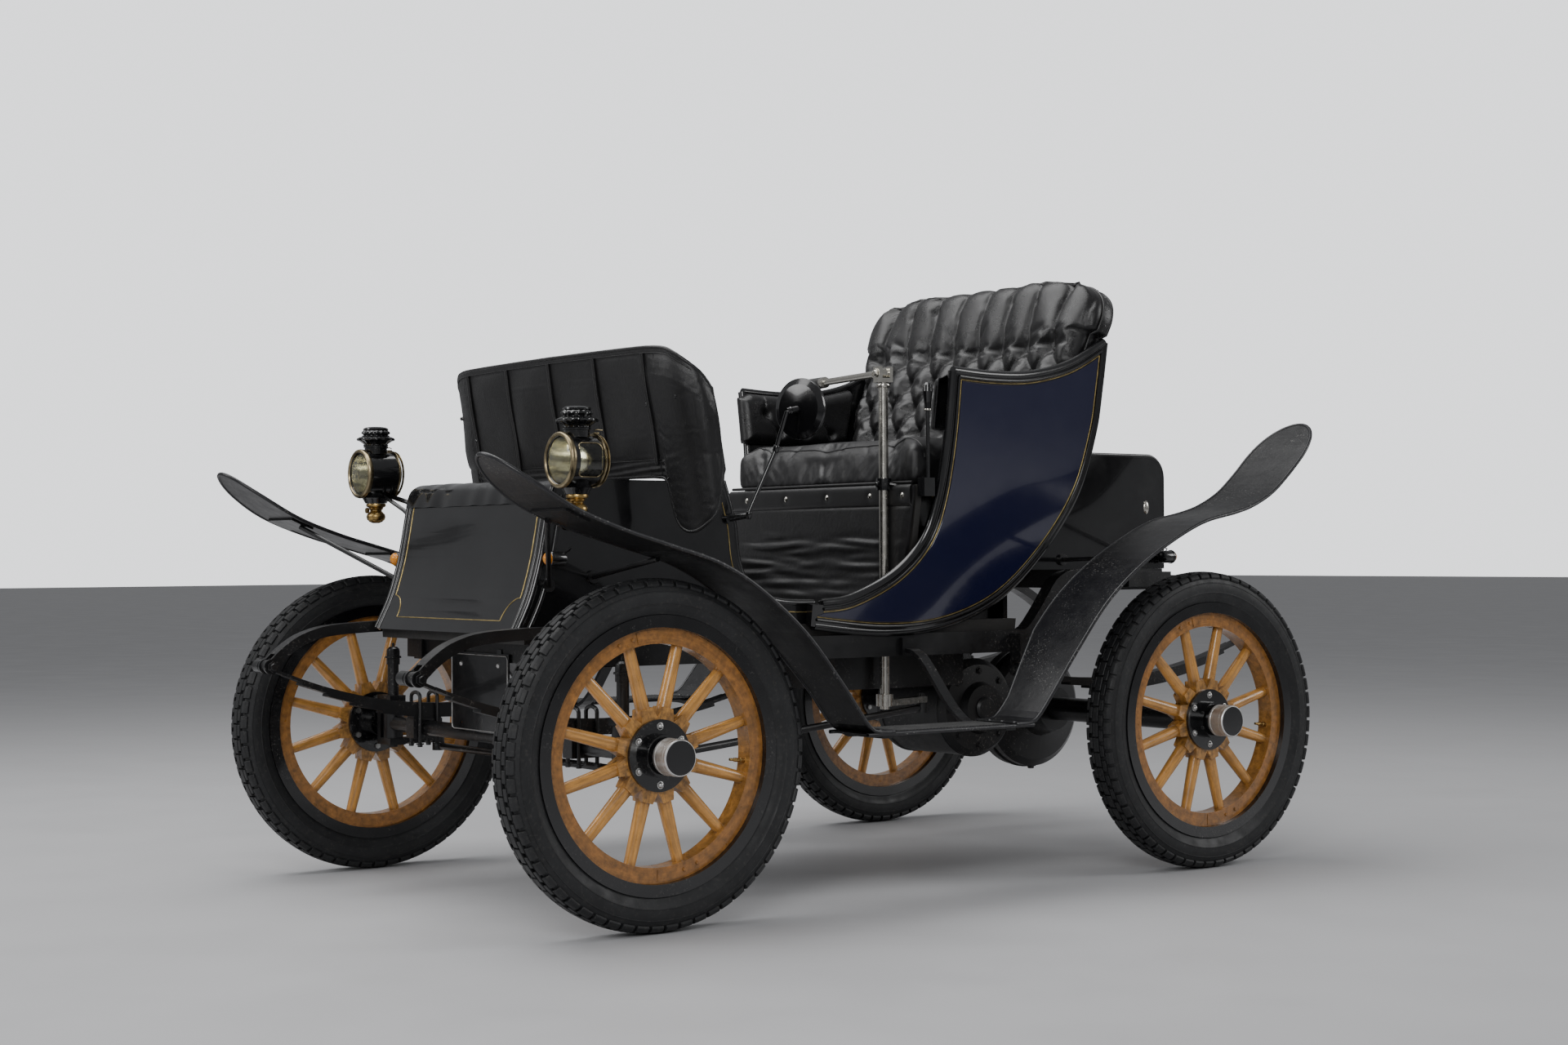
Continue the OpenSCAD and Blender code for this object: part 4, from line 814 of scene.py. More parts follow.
class RUNABOUT_OT_tyres(bpy.types.Operator):
    """Makes the four tyres: ringed side walls, ribs and shoulder blocks"""

    bl_idname = "runabout.tyres"
    bl_label = "Tyres"

    def execute(self, context):
        sizes = context.scene.runabout_wheels
        centre = Vector((WHEEL_X, AXLE_Y["front"], AXLE_Z))
        r, h, deep = TYRE_R, TYRE_HALF, sizes.tread_depth
        wall = [(0.3, 0.029), (0.3035, 0.0325), (0.306, 0.033), (0.3085, 0.0345), (0.313, 0.0375), (0.32, 0.0412),
            (0.326, 0.0432), (0.3268, 0.0441), (0.328, 0.0441), (0.3288, 0.0436), (0.336, h - 0.0006),
            (0.343, 0.0437), (0.35, 0.0424), (0.3508, 0.0432), (0.3522, 0.043), (0.353, 0.0415), (0.36, 0.0385)]
        tread = [(r - deep - 0.0105, 0.0362), (r - deep - 0.004, 0.029), (r - deep - 0.0012, 0.015), (r - deep, 0.0)]
        half = wall + tread
        profile = [(0.293, 0.026)] + half + [(q, -t) for q, t in reversed(half[:-1])] + [(0.293, -0.026)]
        tyre = turned(profile + [profile[0]], centre, steps=144)
        # tread blocks are cut from short spun bars: (rows of corner points, blocks round the tyre, share filled)
        shoulder = [(r - deep - 0.013, 0.0375), (r - 0.0145, 0.0412), (r - 0.0062, 0.0362), (r - 0.0028, 0.0262),
            (r - deep - 0.004, 0.0262)]
        middle = [(r - deep - 0.003, 0.0232), (r - 0.0022, 0.0232), (r - 0.0008, 0.0118), (r - deep - 0.001, 0.0118)]
        rib = [(r - deep - 0.001, 0.0088), (r - 0.0002, 0.0088), (r, 0.0), (r - 0.0002, -0.0088),
            (r - deep - 0.001, -0.0088)]
        parts = [tyre]
        for corners, count, share, turn in ((shoulder, sizes.lugs, 0.8, 0.0), (middle, sizes.lugs, 0.72, 0.5),
                (rib, sizes.lugs, 0.9, 0.2)):
            for mirror in ((1,) if corners is rib else (1, -1)):
                step = math.tau / count
                bar = turned([(q, mirror * t) for q, t in corners + corners[:1]], centre, steps=2, angle=step * share)
                opened(bar)
                bpy.ops.mesh.select_mode(type="EDGE")
                bpy.ops.mesh.select_all(action="DESELECT")
                bpy.ops.mesh.select_non_manifold()
                bpy.ops.mesh.edge_face_add()
                bpy.ops.mesh.select_mode(type="VERT")
                bpy.ops.mesh.select_all(action="SELECT")
                closed(bar)
                skew = 0.1 * (1 if mirror > 0 else -1)
                for v in bar.data.vertices:
                    away = v.co - centre
                    angle = step * (turn + (0.5 if mirror < 0 else 0)) + skew * (abs(away.x) - 0.02)
                    v.co = centre + Matrix.Rotation(angle, 3, "X") @ away
                bevelled(bar, 0.0011, 1)
                parts.append(ringed(bar, count, centre))
        at_every_wheel("tread", parts, "tyre_rubber", "tyre", 32)
        return {"FINISHED"}


class RUNABOUT_OT_wheel_fittings(bpy.types.Operator):
    """Makes each wheel's hub bolts, nickel cap, felloe plates and valve"""

    bl_idname = "runabout.wheel_fittings"
    bl_label = "Wheel fittings"

    def execute(self, context):
        sizes = context.scene.runabout_wheels
        y, z = AXLE_Y["front"], AXLE_Z
        centre = Vector((WHEEL_X, y, z))
        flange = WHEEL_X + 0.028
        bolt = turned(mm((0, 6.8), (3.6, 6.2), (5.8, 4.2), (6.6, 1.5), (8.5, 1), (8.5, -0.6), (0, -0.6)),
            (flange, y, z + sizes.bolt_circle), steps=12)
        inner = turned(mm((0, -6.5), (7.5, -6), (7.5, 0.6), (0, 0.6)), (WHEEL_X - 0.028, y, z + sizes.bolt_circle),
            steps=6)
        at_every_wheel("hub_bolts", ringed(joined([bolt, inner]), sizes.hub_bolts, centre), "bright_steel", angle=35)
        cap_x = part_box("hub_front_left")[1].x
        length = cap_x - WHEEL_X - 0.06
        cap = turned([(0.03, -0.0005), (0.0398, -0.0005), (0.0404, 0.002), (0.0404, 0.006), (0.0396, 0.0072),
            (0.0396, length - 0.0085), (0.0402, length - 0.0075), (0.0402, length - 0.003), (0.0385, length - 0.0006),
            (0.033, length), (0.0322, length - 0.0012), (0.0, length - 0.0009)], (WHEEL_X + 0.06, y, z), steps=96)
        knurl = block((0.008, 0.0011, 0.0009), (WHEEL_X + 0.06 + length - 0.0165, y, z + 0.0398))
        knurl = ringed(knurl, 84, centre)
        at_every_wheel("hub_cap", [cap, knurl], "cap_alloy", angle=30)
        plates = []
        for turn in (math.radians(12), math.radians(192)):
            plate = turned(mm((244, 21.8), (270, 21.8), (270, 23.2), (244, 23.2), (244, 21.8)), centre, steps=8,
                angle=math.radians(13))
            rivets = [turned(mm((0, 2.4), (3.5, 1.8), (4.6, 0), (4.6, -0.6), (0, -0.6)),
                centre + Matrix.Rotation(math.radians(a), 3, "X") @ Vector((0.0232, 0, 0.257)), steps=12) for a in
                (2.5, 10.5)]
            plate = joined([plate] + rivets)
            plate.data.transform(Matrix.Translation(centre) @ Matrix.Rotation(turn, 4, "X") @
                Matrix.Translation(-centre))
            plates.append(plate)
        at_every_wheel("felloe_plates", plates, "front_wood", angle=35)
        out = Matrix.Rotation(math.radians(-96), 3, "X") @ Vector((0, 0, 1))
        foot = centre + out * 0.241
        valve = turned(mm((0, -40), (3.2, -39), (3.2, -28), (4.6, -27), (4.6, -12), (6, -11), (6, 1), (0, 1)), foot,
            axis=out, steps=16)
        at_every_wheel("tyre_valve", valve, "aged_brass")
        return {"FINISHED"}


def panel_face_y(z):
    """The front panel's face at a height."""
    return level_at(curve(FRONT_FACE, 8), z, 1)


def lined(name, lines, radius, coat="moulding_paint", body="chassis", sides=3):
    """Lines made one beaded piece on the left, and the same on the right."""
    return pair(name, [strung(line, radius, sides=sides) for line in lines], coat, angle=50, body=body)


class RUNABOUT_OT_trim(bpy.types.Operator):
    """Makes the body's rounded mouldings, gold lines and navy panels"""

    bl_idname = "runabout.trim"
    bl_label = "Body trim"

    def execute(self, context):
        sizes = context.scene.runabout_body
        front = [p for p in curve(ENTRY[5:], 10) if p.x > -0.2]
        top, rear = curve(PANEL_TOP, 10), [p for p in curve(PANEL_REAR, 10) if p.x > -0.205]
        half_wall, r = 0.011, sizes.moulding

        def inset(distance, outward):
            """The three edges moved inward, cut where they meet, and laid on the panel."""
            a, b = crossing(beside(front, -distance), beside(top, -distance))
            b, c = crossing(b, beside(rear, -distance))
            return [on_panel(line, outward) for line in (a, b, c)]

        edges = [[p - Vector((half_wall, 0, 0)) for p in line] for line in inset(0.0, 0.0)]
        lined("panel_edge", edges, 0.0122, sides=4)
        lined("panel_bead", inset(0.0135, 0.0012), r * 0.45)
        lined("panel_line", inset(sizes.inset - 0.0035, 0.0004), sizes.stripe, "gold_line", sides=1)
        a, b, c = inset(sizes.inset, 0.0)
        outline = a + b[1:] + c[1:]
        outline = [p for i, p in enumerate(outline) if i == 0 or (p - outline[i - 1]).length > 1e-4]
        navy = outlined(outline, Vector((0.0016, 0, -0.0016 * LEAN)))
        bevelled(navy, 0.0005, 1, 60)
        pair("navy_panel", navy, "navy_paint", angle=30)

        scuttle = curve(ENTRY[:6], 10)
        wall = BOX_HALF - 0.009
        lined("scuttle_edge", [[Vector((wall, y, z)) for y, z in scuttle]], 0.0108, sides=4)
        lined("scuttle_line", [[Vector((BOX_HALF + 0.0004, y, z)) for y, z in beside(scuttle, -0.021)]], sizes.stripe,
            "gold_line", sides=1)
        face = curve(FRONT_FACE, 6) + curve(TOP_ROLL, 4)[1:4]
        corner = [Vector((BOX_HALF - 0.005, y + 0.006, z)) for y, z in face]
        lined("front_corner", [corner], 0.0092, sides=4)
        lined("side_bead", [[Vector((BOX_HALF, y + 0.031, z)) for y, z in curve(FRONT_FACE, 6)]], 0.0062)
        lined("front_bead", [[Vector((BOX_HALF - 0.022, y + 0.001, z)) for y, z in curve(FRONT_FACE, 6)]], 0.0045)

        # the front panel's line, with its notched lower corners
        n, out, low = sizes.notch, BOX_HALF - 0.04, FRONT_FACE[0][1] + 0.03
        path = [(out, z) for z in np.linspace(FRONT_TOP - 0.034, low + n, 24)]
        path += [(out - n * math.sin(t), low + n * math.cos(t)) for t in np.linspace(0.08, math.pi / 2, 12)]
        path += [(x, low) for x in np.linspace(out - n, -(out - n), 20)[1:-1]]
        path += [(-x, z) for x, z in reversed(path[:36])]
        line = strung([Vector((x, panel_face_y(z) - 0.0004, z)) for x, z in path], sizes.stripe, sides=1)
        done("front_panel_line", line, "gold_line", angle=50)

        # the rolled and scuffed top edge of the front panel
        roll = [Vector((y, z)) for y, z in curve([(-0.9325, 0.93)] + TOP_ROLL + [(-0.85, 0.9855)], 6)]
        roll = beside(roll, 0.0022)
        rng = np.random.default_rng(5)
        dents = rng.normal(0, 1, (7, 40))

        def lip(u, v):
            x = (2 * u - 1) * (BOX_HALF - 0.004)
            k = v * (len(roll) - 1)
            i = min(int(k), len(roll) - 2)
            y, z = roll[i].lerp(roll[i + 1], k - i)
            ripple = sum(math.sin(x * 17 * (j + 1) + dents[j][0] * 3) * dents[j][1] for j in range(5))
            return Vector((x, y - 0.0006 * ripple * (1 - v), z + 0.0004 * ripple))

        sheet = grid_piece(18, 90, lip)
        walled(sheet, 0.0028)
        done("front_top_roll", sheet, "moulding_paint", angle=60)

        # the rear lid's wired edge, its hinge and the box's catches
        turn = [Vector((q.y, q.z)) for q in arc((0, LID_REAR - 0.06, LID_TOP - 0.06), 0.0605, 90, 0, 10)]
        lid_line = [Vector((0.69, LID_TOP + 0.0005))] + turn + [Vector((LID_REAR + 0.0005, 0.908))]
        lined("lid_bead", [[Vector((BOX_HALF - 0.003, y - 0.002, z - 0.002)) for y, z in lid_line]], 0.0045,
            body="rear_lid")
        low_bead = strung([Vector((x, LID_REAR - 0.001, 0.9085)) for x in (-BOX_HALF + 0.004, BOX_HALF - 0.004)],
            0.004)
        done("lid_lower_bead", low_bead, "moulding_paint", body="rear_lid")
        catch = turned(mm((0, 5.2), (6, 4.6), (9.5, 2.2), (10.5, 0), (0, 0)), (BOX_HALF, 0.955, 0.935), steps=20)
        catch.data.transform(Matrix.Translation((0, 0, 0.935)) @ Matrix.Scale(1.75, 4, (0, 0, 1)) @
            Matrix.Translation((0, 0, -0.935)))
        pair("box_catch", catch, "nickel")
        hinges = []
        for x in (-0.2, 0.2):
            hinges.append(turned(mm((0, -32), (5.5, -32), (5.5, 32), (0, 32)), (x, 0.6765, LID_TOP - 0.001),
                steps=14))
            hinges.append(block((0.064, 0.03, 0.0024), (x, 0.66, LID_TOP + 0.0012), 0.0008, 1))
        done("lid_hinges", hinges, "lamp_black")
        return {"FINISHED"}


class RUNABOUT_OT_fender_edges(bpy.types.Operator):
    """Makes the fenders' and steps' wired edges and rivets"""

    bl_idname = "runabout.fender_edges"
    bl_label = "Fender edges"

    def execute(self, context):
        bead = context.scene.runabout_fenders.bead
        mid, half = (FENDER_IN + FENDER_OUT) / 2, (FENDER_OUT - FENDER_IN) / 2
        front = curve(FRONT_FENDER, 8) + [Vector((-0.28, STEP_Z + 0.0023))]
        rear = [Vector((0.096, STEP_Z + 0.0023))] + curve(REAR_FENDER, 8)

        tip = FRONT_FENDER[0][0]
        nose = [(mid + half * math.cos(t), tip + 0.15 - 0.15 * math.sin(t)) for t in np.linspace(0, math.pi, 33)]
        plan = [(FENDER_OUT, y) for y in np.linspace(-0.275, tip + 0.152, 60)] + nose
        plan += [(FENDER_IN, y) for y in np.linspace(tip + 0.152, -0.62, 34)]
        plan += [(FENDER_IN + 0.049 * t, -0.62 + 0.22 * t) for t in np.linspace(0.05, 1, 14)]
        plan += [(0.622, y) for y in np.linspace(-0.39, -0.275, 8)]
        first = [Vector((x, y, level_at(front, max(y, tip)))) for x, y in plan]
        end = REAR_FENDER[-1][0]
        tail = [(mid - half * math.cos(t), end - 0.11 + 0.11 * math.sin(t)) for t in np.linspace(0, math.pi, 33)]
        plan = [(0.622, y) for y in np.linspace(0.095, 0.2, 8)]
        plan += [(0.622 - 0.049 * t, 0.2 + 0.13 * t) for t in np.linspace(0.1, 1, 10)]
        plan += [(FENDER_IN, y) for y in np.linspace(0.335, end - 0.112, 50)] + tail
        plan += [(FENDER_OUT, y) for y in np.linspace(end - 0.112, 0.095, 64)]
        second = [Vector((x, y, level_at(rear, min(y, end)))) for x, y in plan]
        lined("front_fender_edge", [first], bead, "fender_edge")
        lined("rear_fender_edge", [second], bead, "fender_edge")
        step = [Vector((FENDER_OUT - 0.001, -0.352, STEP_Z - 0.002)), Vector((FENDER_OUT - 0.001, 0.152,
            STEP_Z - 0.002))]
        inner = [Vector((0.624, -0.352, STEP_Z - 0.002)), Vector((0.624, 0.152, STEP_Z - 0.002))]
        lined("step_edge", [step, inner], 0.0048, "fender_edge")
        spots = [(x, y) for x in (0.65, 0.694, 0.738) for y in (-0.292, 0.116)]
        rivets = [turned(mm((0, 3), (5, 2.2), (6.8, 0), (0, 0)), (x, y, STEP_Z + 0.0043), (0, 0, 1), 12) for x,
            y in spots]
        pair("step_rivets", rivets, "fender_edge")
        # ridges across the step's tread plate
        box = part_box("side_steps")
        ribs = [block((0.124, 0.0042, 0.0024), (0.695, y, box[1].z + 0.0002), 0.0009, 1) for y in
            np.linspace(-0.25, 0.07, 33)]
        pair("tread_ribs", ribs, "grip_rubber", angle=30)
        return {"FINISHED"}


def puffed(piece, pressure, cap, pin=None, frames=20, stretch=0.0, stiffness=15.0):
    """Blows the cover of a pad up as cloth, then holds every point within cap metres of where it was."""
    only(piece)
    before = np.array([v.co for v in piece.data.vertices])
    cloth = piece.modifiers.new("cover", "CLOTH")
    s = cloth.settings
    s.quality, s.mass, s.air_damping = 5, 0.3, 2.0
    s.tension_stiffness = s.compression_stiffness = stiffness
    s.shear_stiffness, s.bending_stiffness = 5.0, 0.9
    s.use_pressure, s.uniform_pressure_force = True, pressure
    s.shrink_min = -stretch
    s.effector_weights.gravity = 0
    cloth.collision_settings.use_self_collision = False
    if pin:
        s.vertex_group_mass = pin
    scene = bpy.context.scene
    cloth.point_cache.frame_start, cloth.point_cache.frame_end = 1, frames
    for step in range(1, frames + 1):
        scene.frame_set(step)
    held = piece.evaluated_get(bpy.context.evaluated_depsgraph_get())
    after = np.array([v.co for v in held.data.vertices])
    piece.modifiers.remove(cloth)
    scene.frame_set(1)
    move = after - before
    far = np.linalg.norm(move, axis=1, keepdims=True)
    move *= np.minimum(1, cap / np.maximum(far, 1e-9))
    piece.data.vertices.foreach_set("co", (before + move).ravel())
    piece.data.update()
    return piece


# The size of the cells that the cushion's even skin is made from
VOXEL = 0.0075


def soft_button(place, way, radius):
    """A covered upholstery button facing along a vector."""
    return turned([(0, radius * 0.55), (radius * 0.55, radius * 0.46), (radius * 0.9, radius * 0.16),
        (radius, -radius * 0.15), (0, -radius * 0.3)], place, way, 10)


def back_point(x, up, out):
    """A place on the seat back: up its slope and out from its frame's front face, towards the driver."""
    c, s = math.cos(BACK_ANGLE), math.sin(BACK_ANGLE)
    return Vector((x, BACK_Y + up * s + (0.07 - out) * c, DECK + up * c - (0.07 - out) * s))


def tuft_lattice(sizes):
    """The back's buttons: rows counted from the top, each shifted half a step from the last."""
    step = 2 * 0.405 / sizes.tufts
    top = 0.405
    rows = []
    for row in range(5):
        shift = 0.5 if row % 2 == 0 else 0.0
        count = sizes.tufts if row % 2 == 0 else sizes.tufts + 1
        xs = [(i + shift - sizes.tufts / 2) * step for i in range(count)]
        rows.append((top - row * sizes.tuft_row, xs))
    return step, top, rows


class RUNABOUT_OT_seat_back(bpy.types.Operator):
    """Makes the buttoned seat back: pleats over diamond tufts, its piping and its leather side band"""

    bl_idname = "runabout.seat_back"
    bl_label = "Seat back"

    def execute(self, context):
        sizes = context.scene.runabout_seat
        step, top, rows = tuft_lattice(sizes)
        lower, upper = BACK_HALF[:4], curve(BACK_HALF[4:], 6)
        outline = [Vector(p) for p in lower] + upper

        def half_width(up):
            return level_at(outline, min(up, 0.6125), 1)

        height = 0.613
        columns, count = 149, 97

        def puff(x, up):
            """How far the cover stands out: 0 in a crease, 1 on a tuft."""
            q = (top - up) / sizes.tuft_row
            if up >= top:
                ridge = abs(math.sin(math.pi * (x / step - 0.5))) ** 0.42
                near = min(1.0, (up - top) / 0.035)
                button = min(abs(x - b) for b in rows[0][1])
                pit = 1 - 0.55 * math.exp(-((button / 0.03) ** 2 + ((up - top) / 0.03) ** 2))
                return (0.42 + 0.58 * ridge * (0.86 + 0.14 * near)) * pit
            a = x / step - 0.5 + q / 2
            b = x / step - 0.5 - q / 2
            da, db = abs(math.sin(math.pi * a)), abs(math.sin(math.pi * b))
            tuft = (da * db) ** 0.4
            nearest = min(math.hypot((x - bx), (up - row)) for row, xs in rows for bx in xs)
            pit = 1 - 0.62 * math.exp(-(nearest / 0.017) ** 2)
            return (0.3 + 0.7 * tuft) * pit

        def place(u, v):
            up = height * v
            wide = half_width(up)
            side = 2 * u - 1
            x = math.copysign(abs(side) ** 0.92, side) * wide
            edge = min((1 - abs(side)) * wide, (1 - v) * height + 0.0005)
            crown = min(1.0, edge / 0.055)
            crown = math.sqrt(max(0.0, 1 - (1 - crown) ** 2))
            deep = 0.016 + (0.052 if up > 0.1 else 0.04) * crown * (0.35 + 0.65 * puff(x, up))
            return back_point(x, up, min(deep, 0.074))

        front = grid_piece(count, columns, place)
        pins = front.vertex_groups.new(name="held")
        for vertex in front.data.vertices:
            local = vertex.co
            up = ((local.y - BACK_Y) * math.sin(BACK_ANGLE) + (local.z - DECK) * math.cos(BACK_ANGLE))
            share = puff(local.x, up)
            edge = min(half_width(up) - abs(local.x), height - up, up)
            weight = 1.0 if edge < 0.012 else max(0.0, min(1.0, (0.56 - share) * 3.5))
            pins.add([vertex.index], weight, "REPLACE")
        puffed(front, 5.0, 0.016, "held", 16, 0.05)
        front.vertex_groups.clear()
        wall = front.modifiers.new("stuffing", "SOLIDIFY")
        wall.thickness, wall.offset = 0.004, -1
        bpy.ops.object.modifier_apply(modifier=wall.name)
        tidy(front)
        front = done("seat_back_leather", front, "back_leather", "seat_back_cushion", angle=180)

        buttons = []
        for up, xs in rows:
            for x in xs:
                if abs(x) > half_width(up) - 0.035 or up < 0.1:
                    continue
                hit, at, *_ = front.ray_cast(back_point(x, up, 0.2), (back_point(0, 0, 0) -
                    back_point(0, 0, 1)).normalized())
                if hit:
                    buttons.append(soft_button(at, back_point(0, 0, 1) - back_point(0, 0, 0), sizes.button))
        done("back_buttons", buttons, "button_leather")

        # side band, and the piping round both its edges
        rim = [(x, up) for x, up in outline if up > 0.105]
        ring = [(x, up) for x, up in rim] + [(-x, up) for x, up in reversed(rim[:-1])]
        band_rows = [(0.0165, 1.0), (0.01, 1.004), (-0.006, 1.004), (-0.0135, 1.0)]

        def band(u, v):
            k = u * (len(ring) - 1)
            i = min(int(k), len(ring) - 2)
            a, b = Vector(ring[i]), Vector(ring[i + 1])
            p = a.lerp(b, k - i)
            j = min(int(v * 3), 2)
            (d0, s0), (d1, s1) = band_rows[j], band_rows[j + 1]
            t = v * 3 - j
            s = s0 + (s1 - s0) * t
            return back_point(p.x * s, p.y, d0 + (d1 - d0) * t)

        side = grid_piece(4, 200, band)
        walled(side, 0.0024)
        done("seat_back_band", side, "back_leather", angle=60)
        lines = [strung([back_point(x * 1.0, up, 0.0172) for x, up in ring], 0.0036, sides=2),
            strung([back_point(x * 1.0, up, -0.014) for x, up in ring], 0.0042, sides=2)]
        done("seat_back_piping", lines, "back_leather", angle=60)
        tacks = []
        for i in range(6, len(ring) - 6, 3):
            x, up = ring[i]
            way = (Vector((ring[i + 1][1] - ring[i - 1][1], -(ring[i + 1][0] - ring[i - 1][0])))).normalized()
            outward = back_point(way.x, way.y, 0) - back_point(0, 0, 0)
            tacks.append(turned(mm((0, 2.2), (2.8, 1.2), (3.4, 0), (0, 0)), back_point(x, up, 0.002) + outward *
                0.0022, outward, 8))
        done("seat_back_tacks", tacks, "lamp_black")
        return {"FINISHED"}


class RUNABOUT_OT_seat_cushion(bpy.types.Operator):
    """Makes the sprung seat cushion with its front roll, and the buttoned band and apron under it"""

    bl_idname = "runabout.seat_cushion"
    bl_label = "Seat cushion and apron"

    def execute(self, context):
        sizes = context.scene.runabout_seat
        low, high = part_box("seat_cushion")
        shrink = 0.01
        size_of = Vector((high.x - low.x - 2 * shrink, high.y - low.y - 2 * shrink, high.z - low.z - shrink - 0.004))
        centre = Vector((0, (low.y + high.y) / 2, low.z + size_of.z / 2))
        pad = shaped(block(size_of, centre, 0.026, 5), "REMESH", mode="VOXEL", voxel_size=VOXEL)
        pins = pad.vertex_groups.new(name="held")
        for v in pad.data.vertices:
            bottom = max(0.0, 1 - (v.co.z - low.z) / 0.018)
            pins.add([v.index], min(1.0, bottom), "REPLACE")
        puffed(pad, 4.0, sizes.swell, "held", 20, 0.02)
        pad.vertex_groups.clear()
        points = np.array([v.co for v in pad.data.vertices])
        points[:, 2] = np.maximum(points[:, 2], low.z + 0.0003)
        points[:, 1] = np.clip(points[:, 1], low.y - 0.004, high.y)
        points[:, 0] = np.clip(points[:, 0], low.x, high.x)
        sunk = np.exp(-((points[:, 0] - 0.19) / 0.13) ** 2) + np.exp(-((points[:, 0] + 0.19) / 0.13) ** 2)
        seat = np.exp(-((points[:, 1] - 0.27) / 0.12) ** 2)
        upper = np.clip((points[:, 2] - low.z) / (high.z - low.z), 0, 1) ** 3
        points[:, 2] -= 0.01 * sunk * seat * upper
        pad.data.vertices.foreach_set("co", points.ravel())
        pad.data.update()
        shaped(pad, "SUBSURF", levels=1, render_levels=1)
        pad = done("seat_cushion_leather", pad, "seat_leather", "seat_cushion", angle=180)
        # the sewn roll along the cushion's front and the piping at its foot
        seam = []
        for x in np.linspace(low.x + 0.012, high.x - 0.012, 60):
            hit, at, *_ = pad.ray_cast(Vector((x, low.y + 0.05, high.z + 0.2)), Vector((0, 0, -1)))
            if hit:
                seam.append(at + Vector((0, 0, 0.0002)))
        foot = [Vector((x, low.y + 0.004, low.z + 0.0055)) for x in np.linspace(low.x + 0.006, high.x - 0.006, 30)]
        lines = [strung(seam, 0.0024, sides=2), strung(foot, 0.004, sides=2)]
        done("seat_cushion_piping", lines, "seat_leather", angle=60)

        # buttoned band under the cushion
        apron_low, apron_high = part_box("seat_apron")
        front_y = apron_low.y
        half = 0.392
        band_low, band_high = 0.931, 0.9845

        def band(u, v):
            x = (2 * u - 1) * half
            z = band_low + (band_high - band_low) * v
            out = 0.0062 * math.sqrt(max(0.0, 1 - (2 * v - 1) ** 4))
            for b in (-0.31, -0.13, 0.05, 0.23, 0.36):
                out -= 0.003 * math.exp(-(((x - b) / 0.012) ** 2 + ((v - 0.5) / 0.22) ** 2))
            return Vector((x, front_y - out - 0.0006, z))

        sheet = grid_piece(15, 181, band)
        walled(sheet, 0.0022)
        done("seat_front_band", sheet, "seat_leather", angle=60)
        studs = [turned(mm((0, 5.2), (4.2, 4.6), (7.2, 2.2), (8, -2), (0, -2)), (x, front_y - 0.0042, 0.958),
            (0, -1, 0), 16) for x in (-0.31, -0.13, 0.05, 0.23, 0.36)]
        done("band_studs", studs, "nickel")

        # the apron: a hide hung down to the floor, wrinkled where feet have pushed it and pressed flat
        # behind the tiller post; its outer ring of points folds back to the riser
        rng = np.random.default_rng(11)
        folds = [(rng.uniform(-0.28, 0.3), rng.uniform(0.68, 0.86), rng.uniform(0.035, 0.11),
            rng.uniform(0.006, 0.011), rng.uniform(0.0015, 0.0042), rng.uniform(-0.1, 0.12)) for _ in range(46)]
        rows, columns = 123, 203
        foot_half = leaned_x(apron_low.z) - 0.0405

        def hide(u, v):
            skirt = min(u, 1 - u, v, 1 - v) < 1e-4
            u = min(1.0, max(0.0, (u * (columns - 1) - 1) / (columns - 3)))
            v = min(1.0, max(0.0, (v * (rows - 1) - 1) / (rows - 3)))
            z = apron_low.z + 0.0009 + (apron_high.z - apron_low.z - 0.0018) * v
            x = (2 * u - 1) * (foot_half + (apron_high.x - 0.001 - foot_half) * v)
            if skirt:
                return Vector((x, apron_high.y - 0.0009, z))
            dip = math.exp(-((z - 0.7) / 0.055) ** 2) * (0.6 + 0.4 * math.cos(6 * x))
            out = 0.004 + 0.0016 * math.sin(5.3 * x + 1.0) + 0.01 * dip
            for fx, fz, fw, fh, deep, tilt in folds:
                d = (z - fz - tilt * (x - fx)) / fh
                out += deep * math.exp(-((x - fx) / fw) ** 2) * (math.exp(-d * d) - 0.8 * math.exp(-((d - 1.7) ** 2)))
            pressed = math.exp(-((x - 0.3) / 0.032) ** 4)
            out += (min(out, 0.0018) - out) * pressed
            edge = min(1.0, (1 - abs(2 * u - 1)) / 0.05)
            below_band = min(1.0, max(0.0, (band_low + 0.006 - z) / 0.0117))
            return Vector((x, front_y + 0.0009 - (0.0015 + max(0.0, out) * edge) * below_band, z))

        sheet = grid_piece(rows, columns, hide)
        walled(sheet, 0.0016)
        done("seat_apron_leather", sheet, "apron_leather", "seat_apron", angle=60)
        return {"FINISHED"}


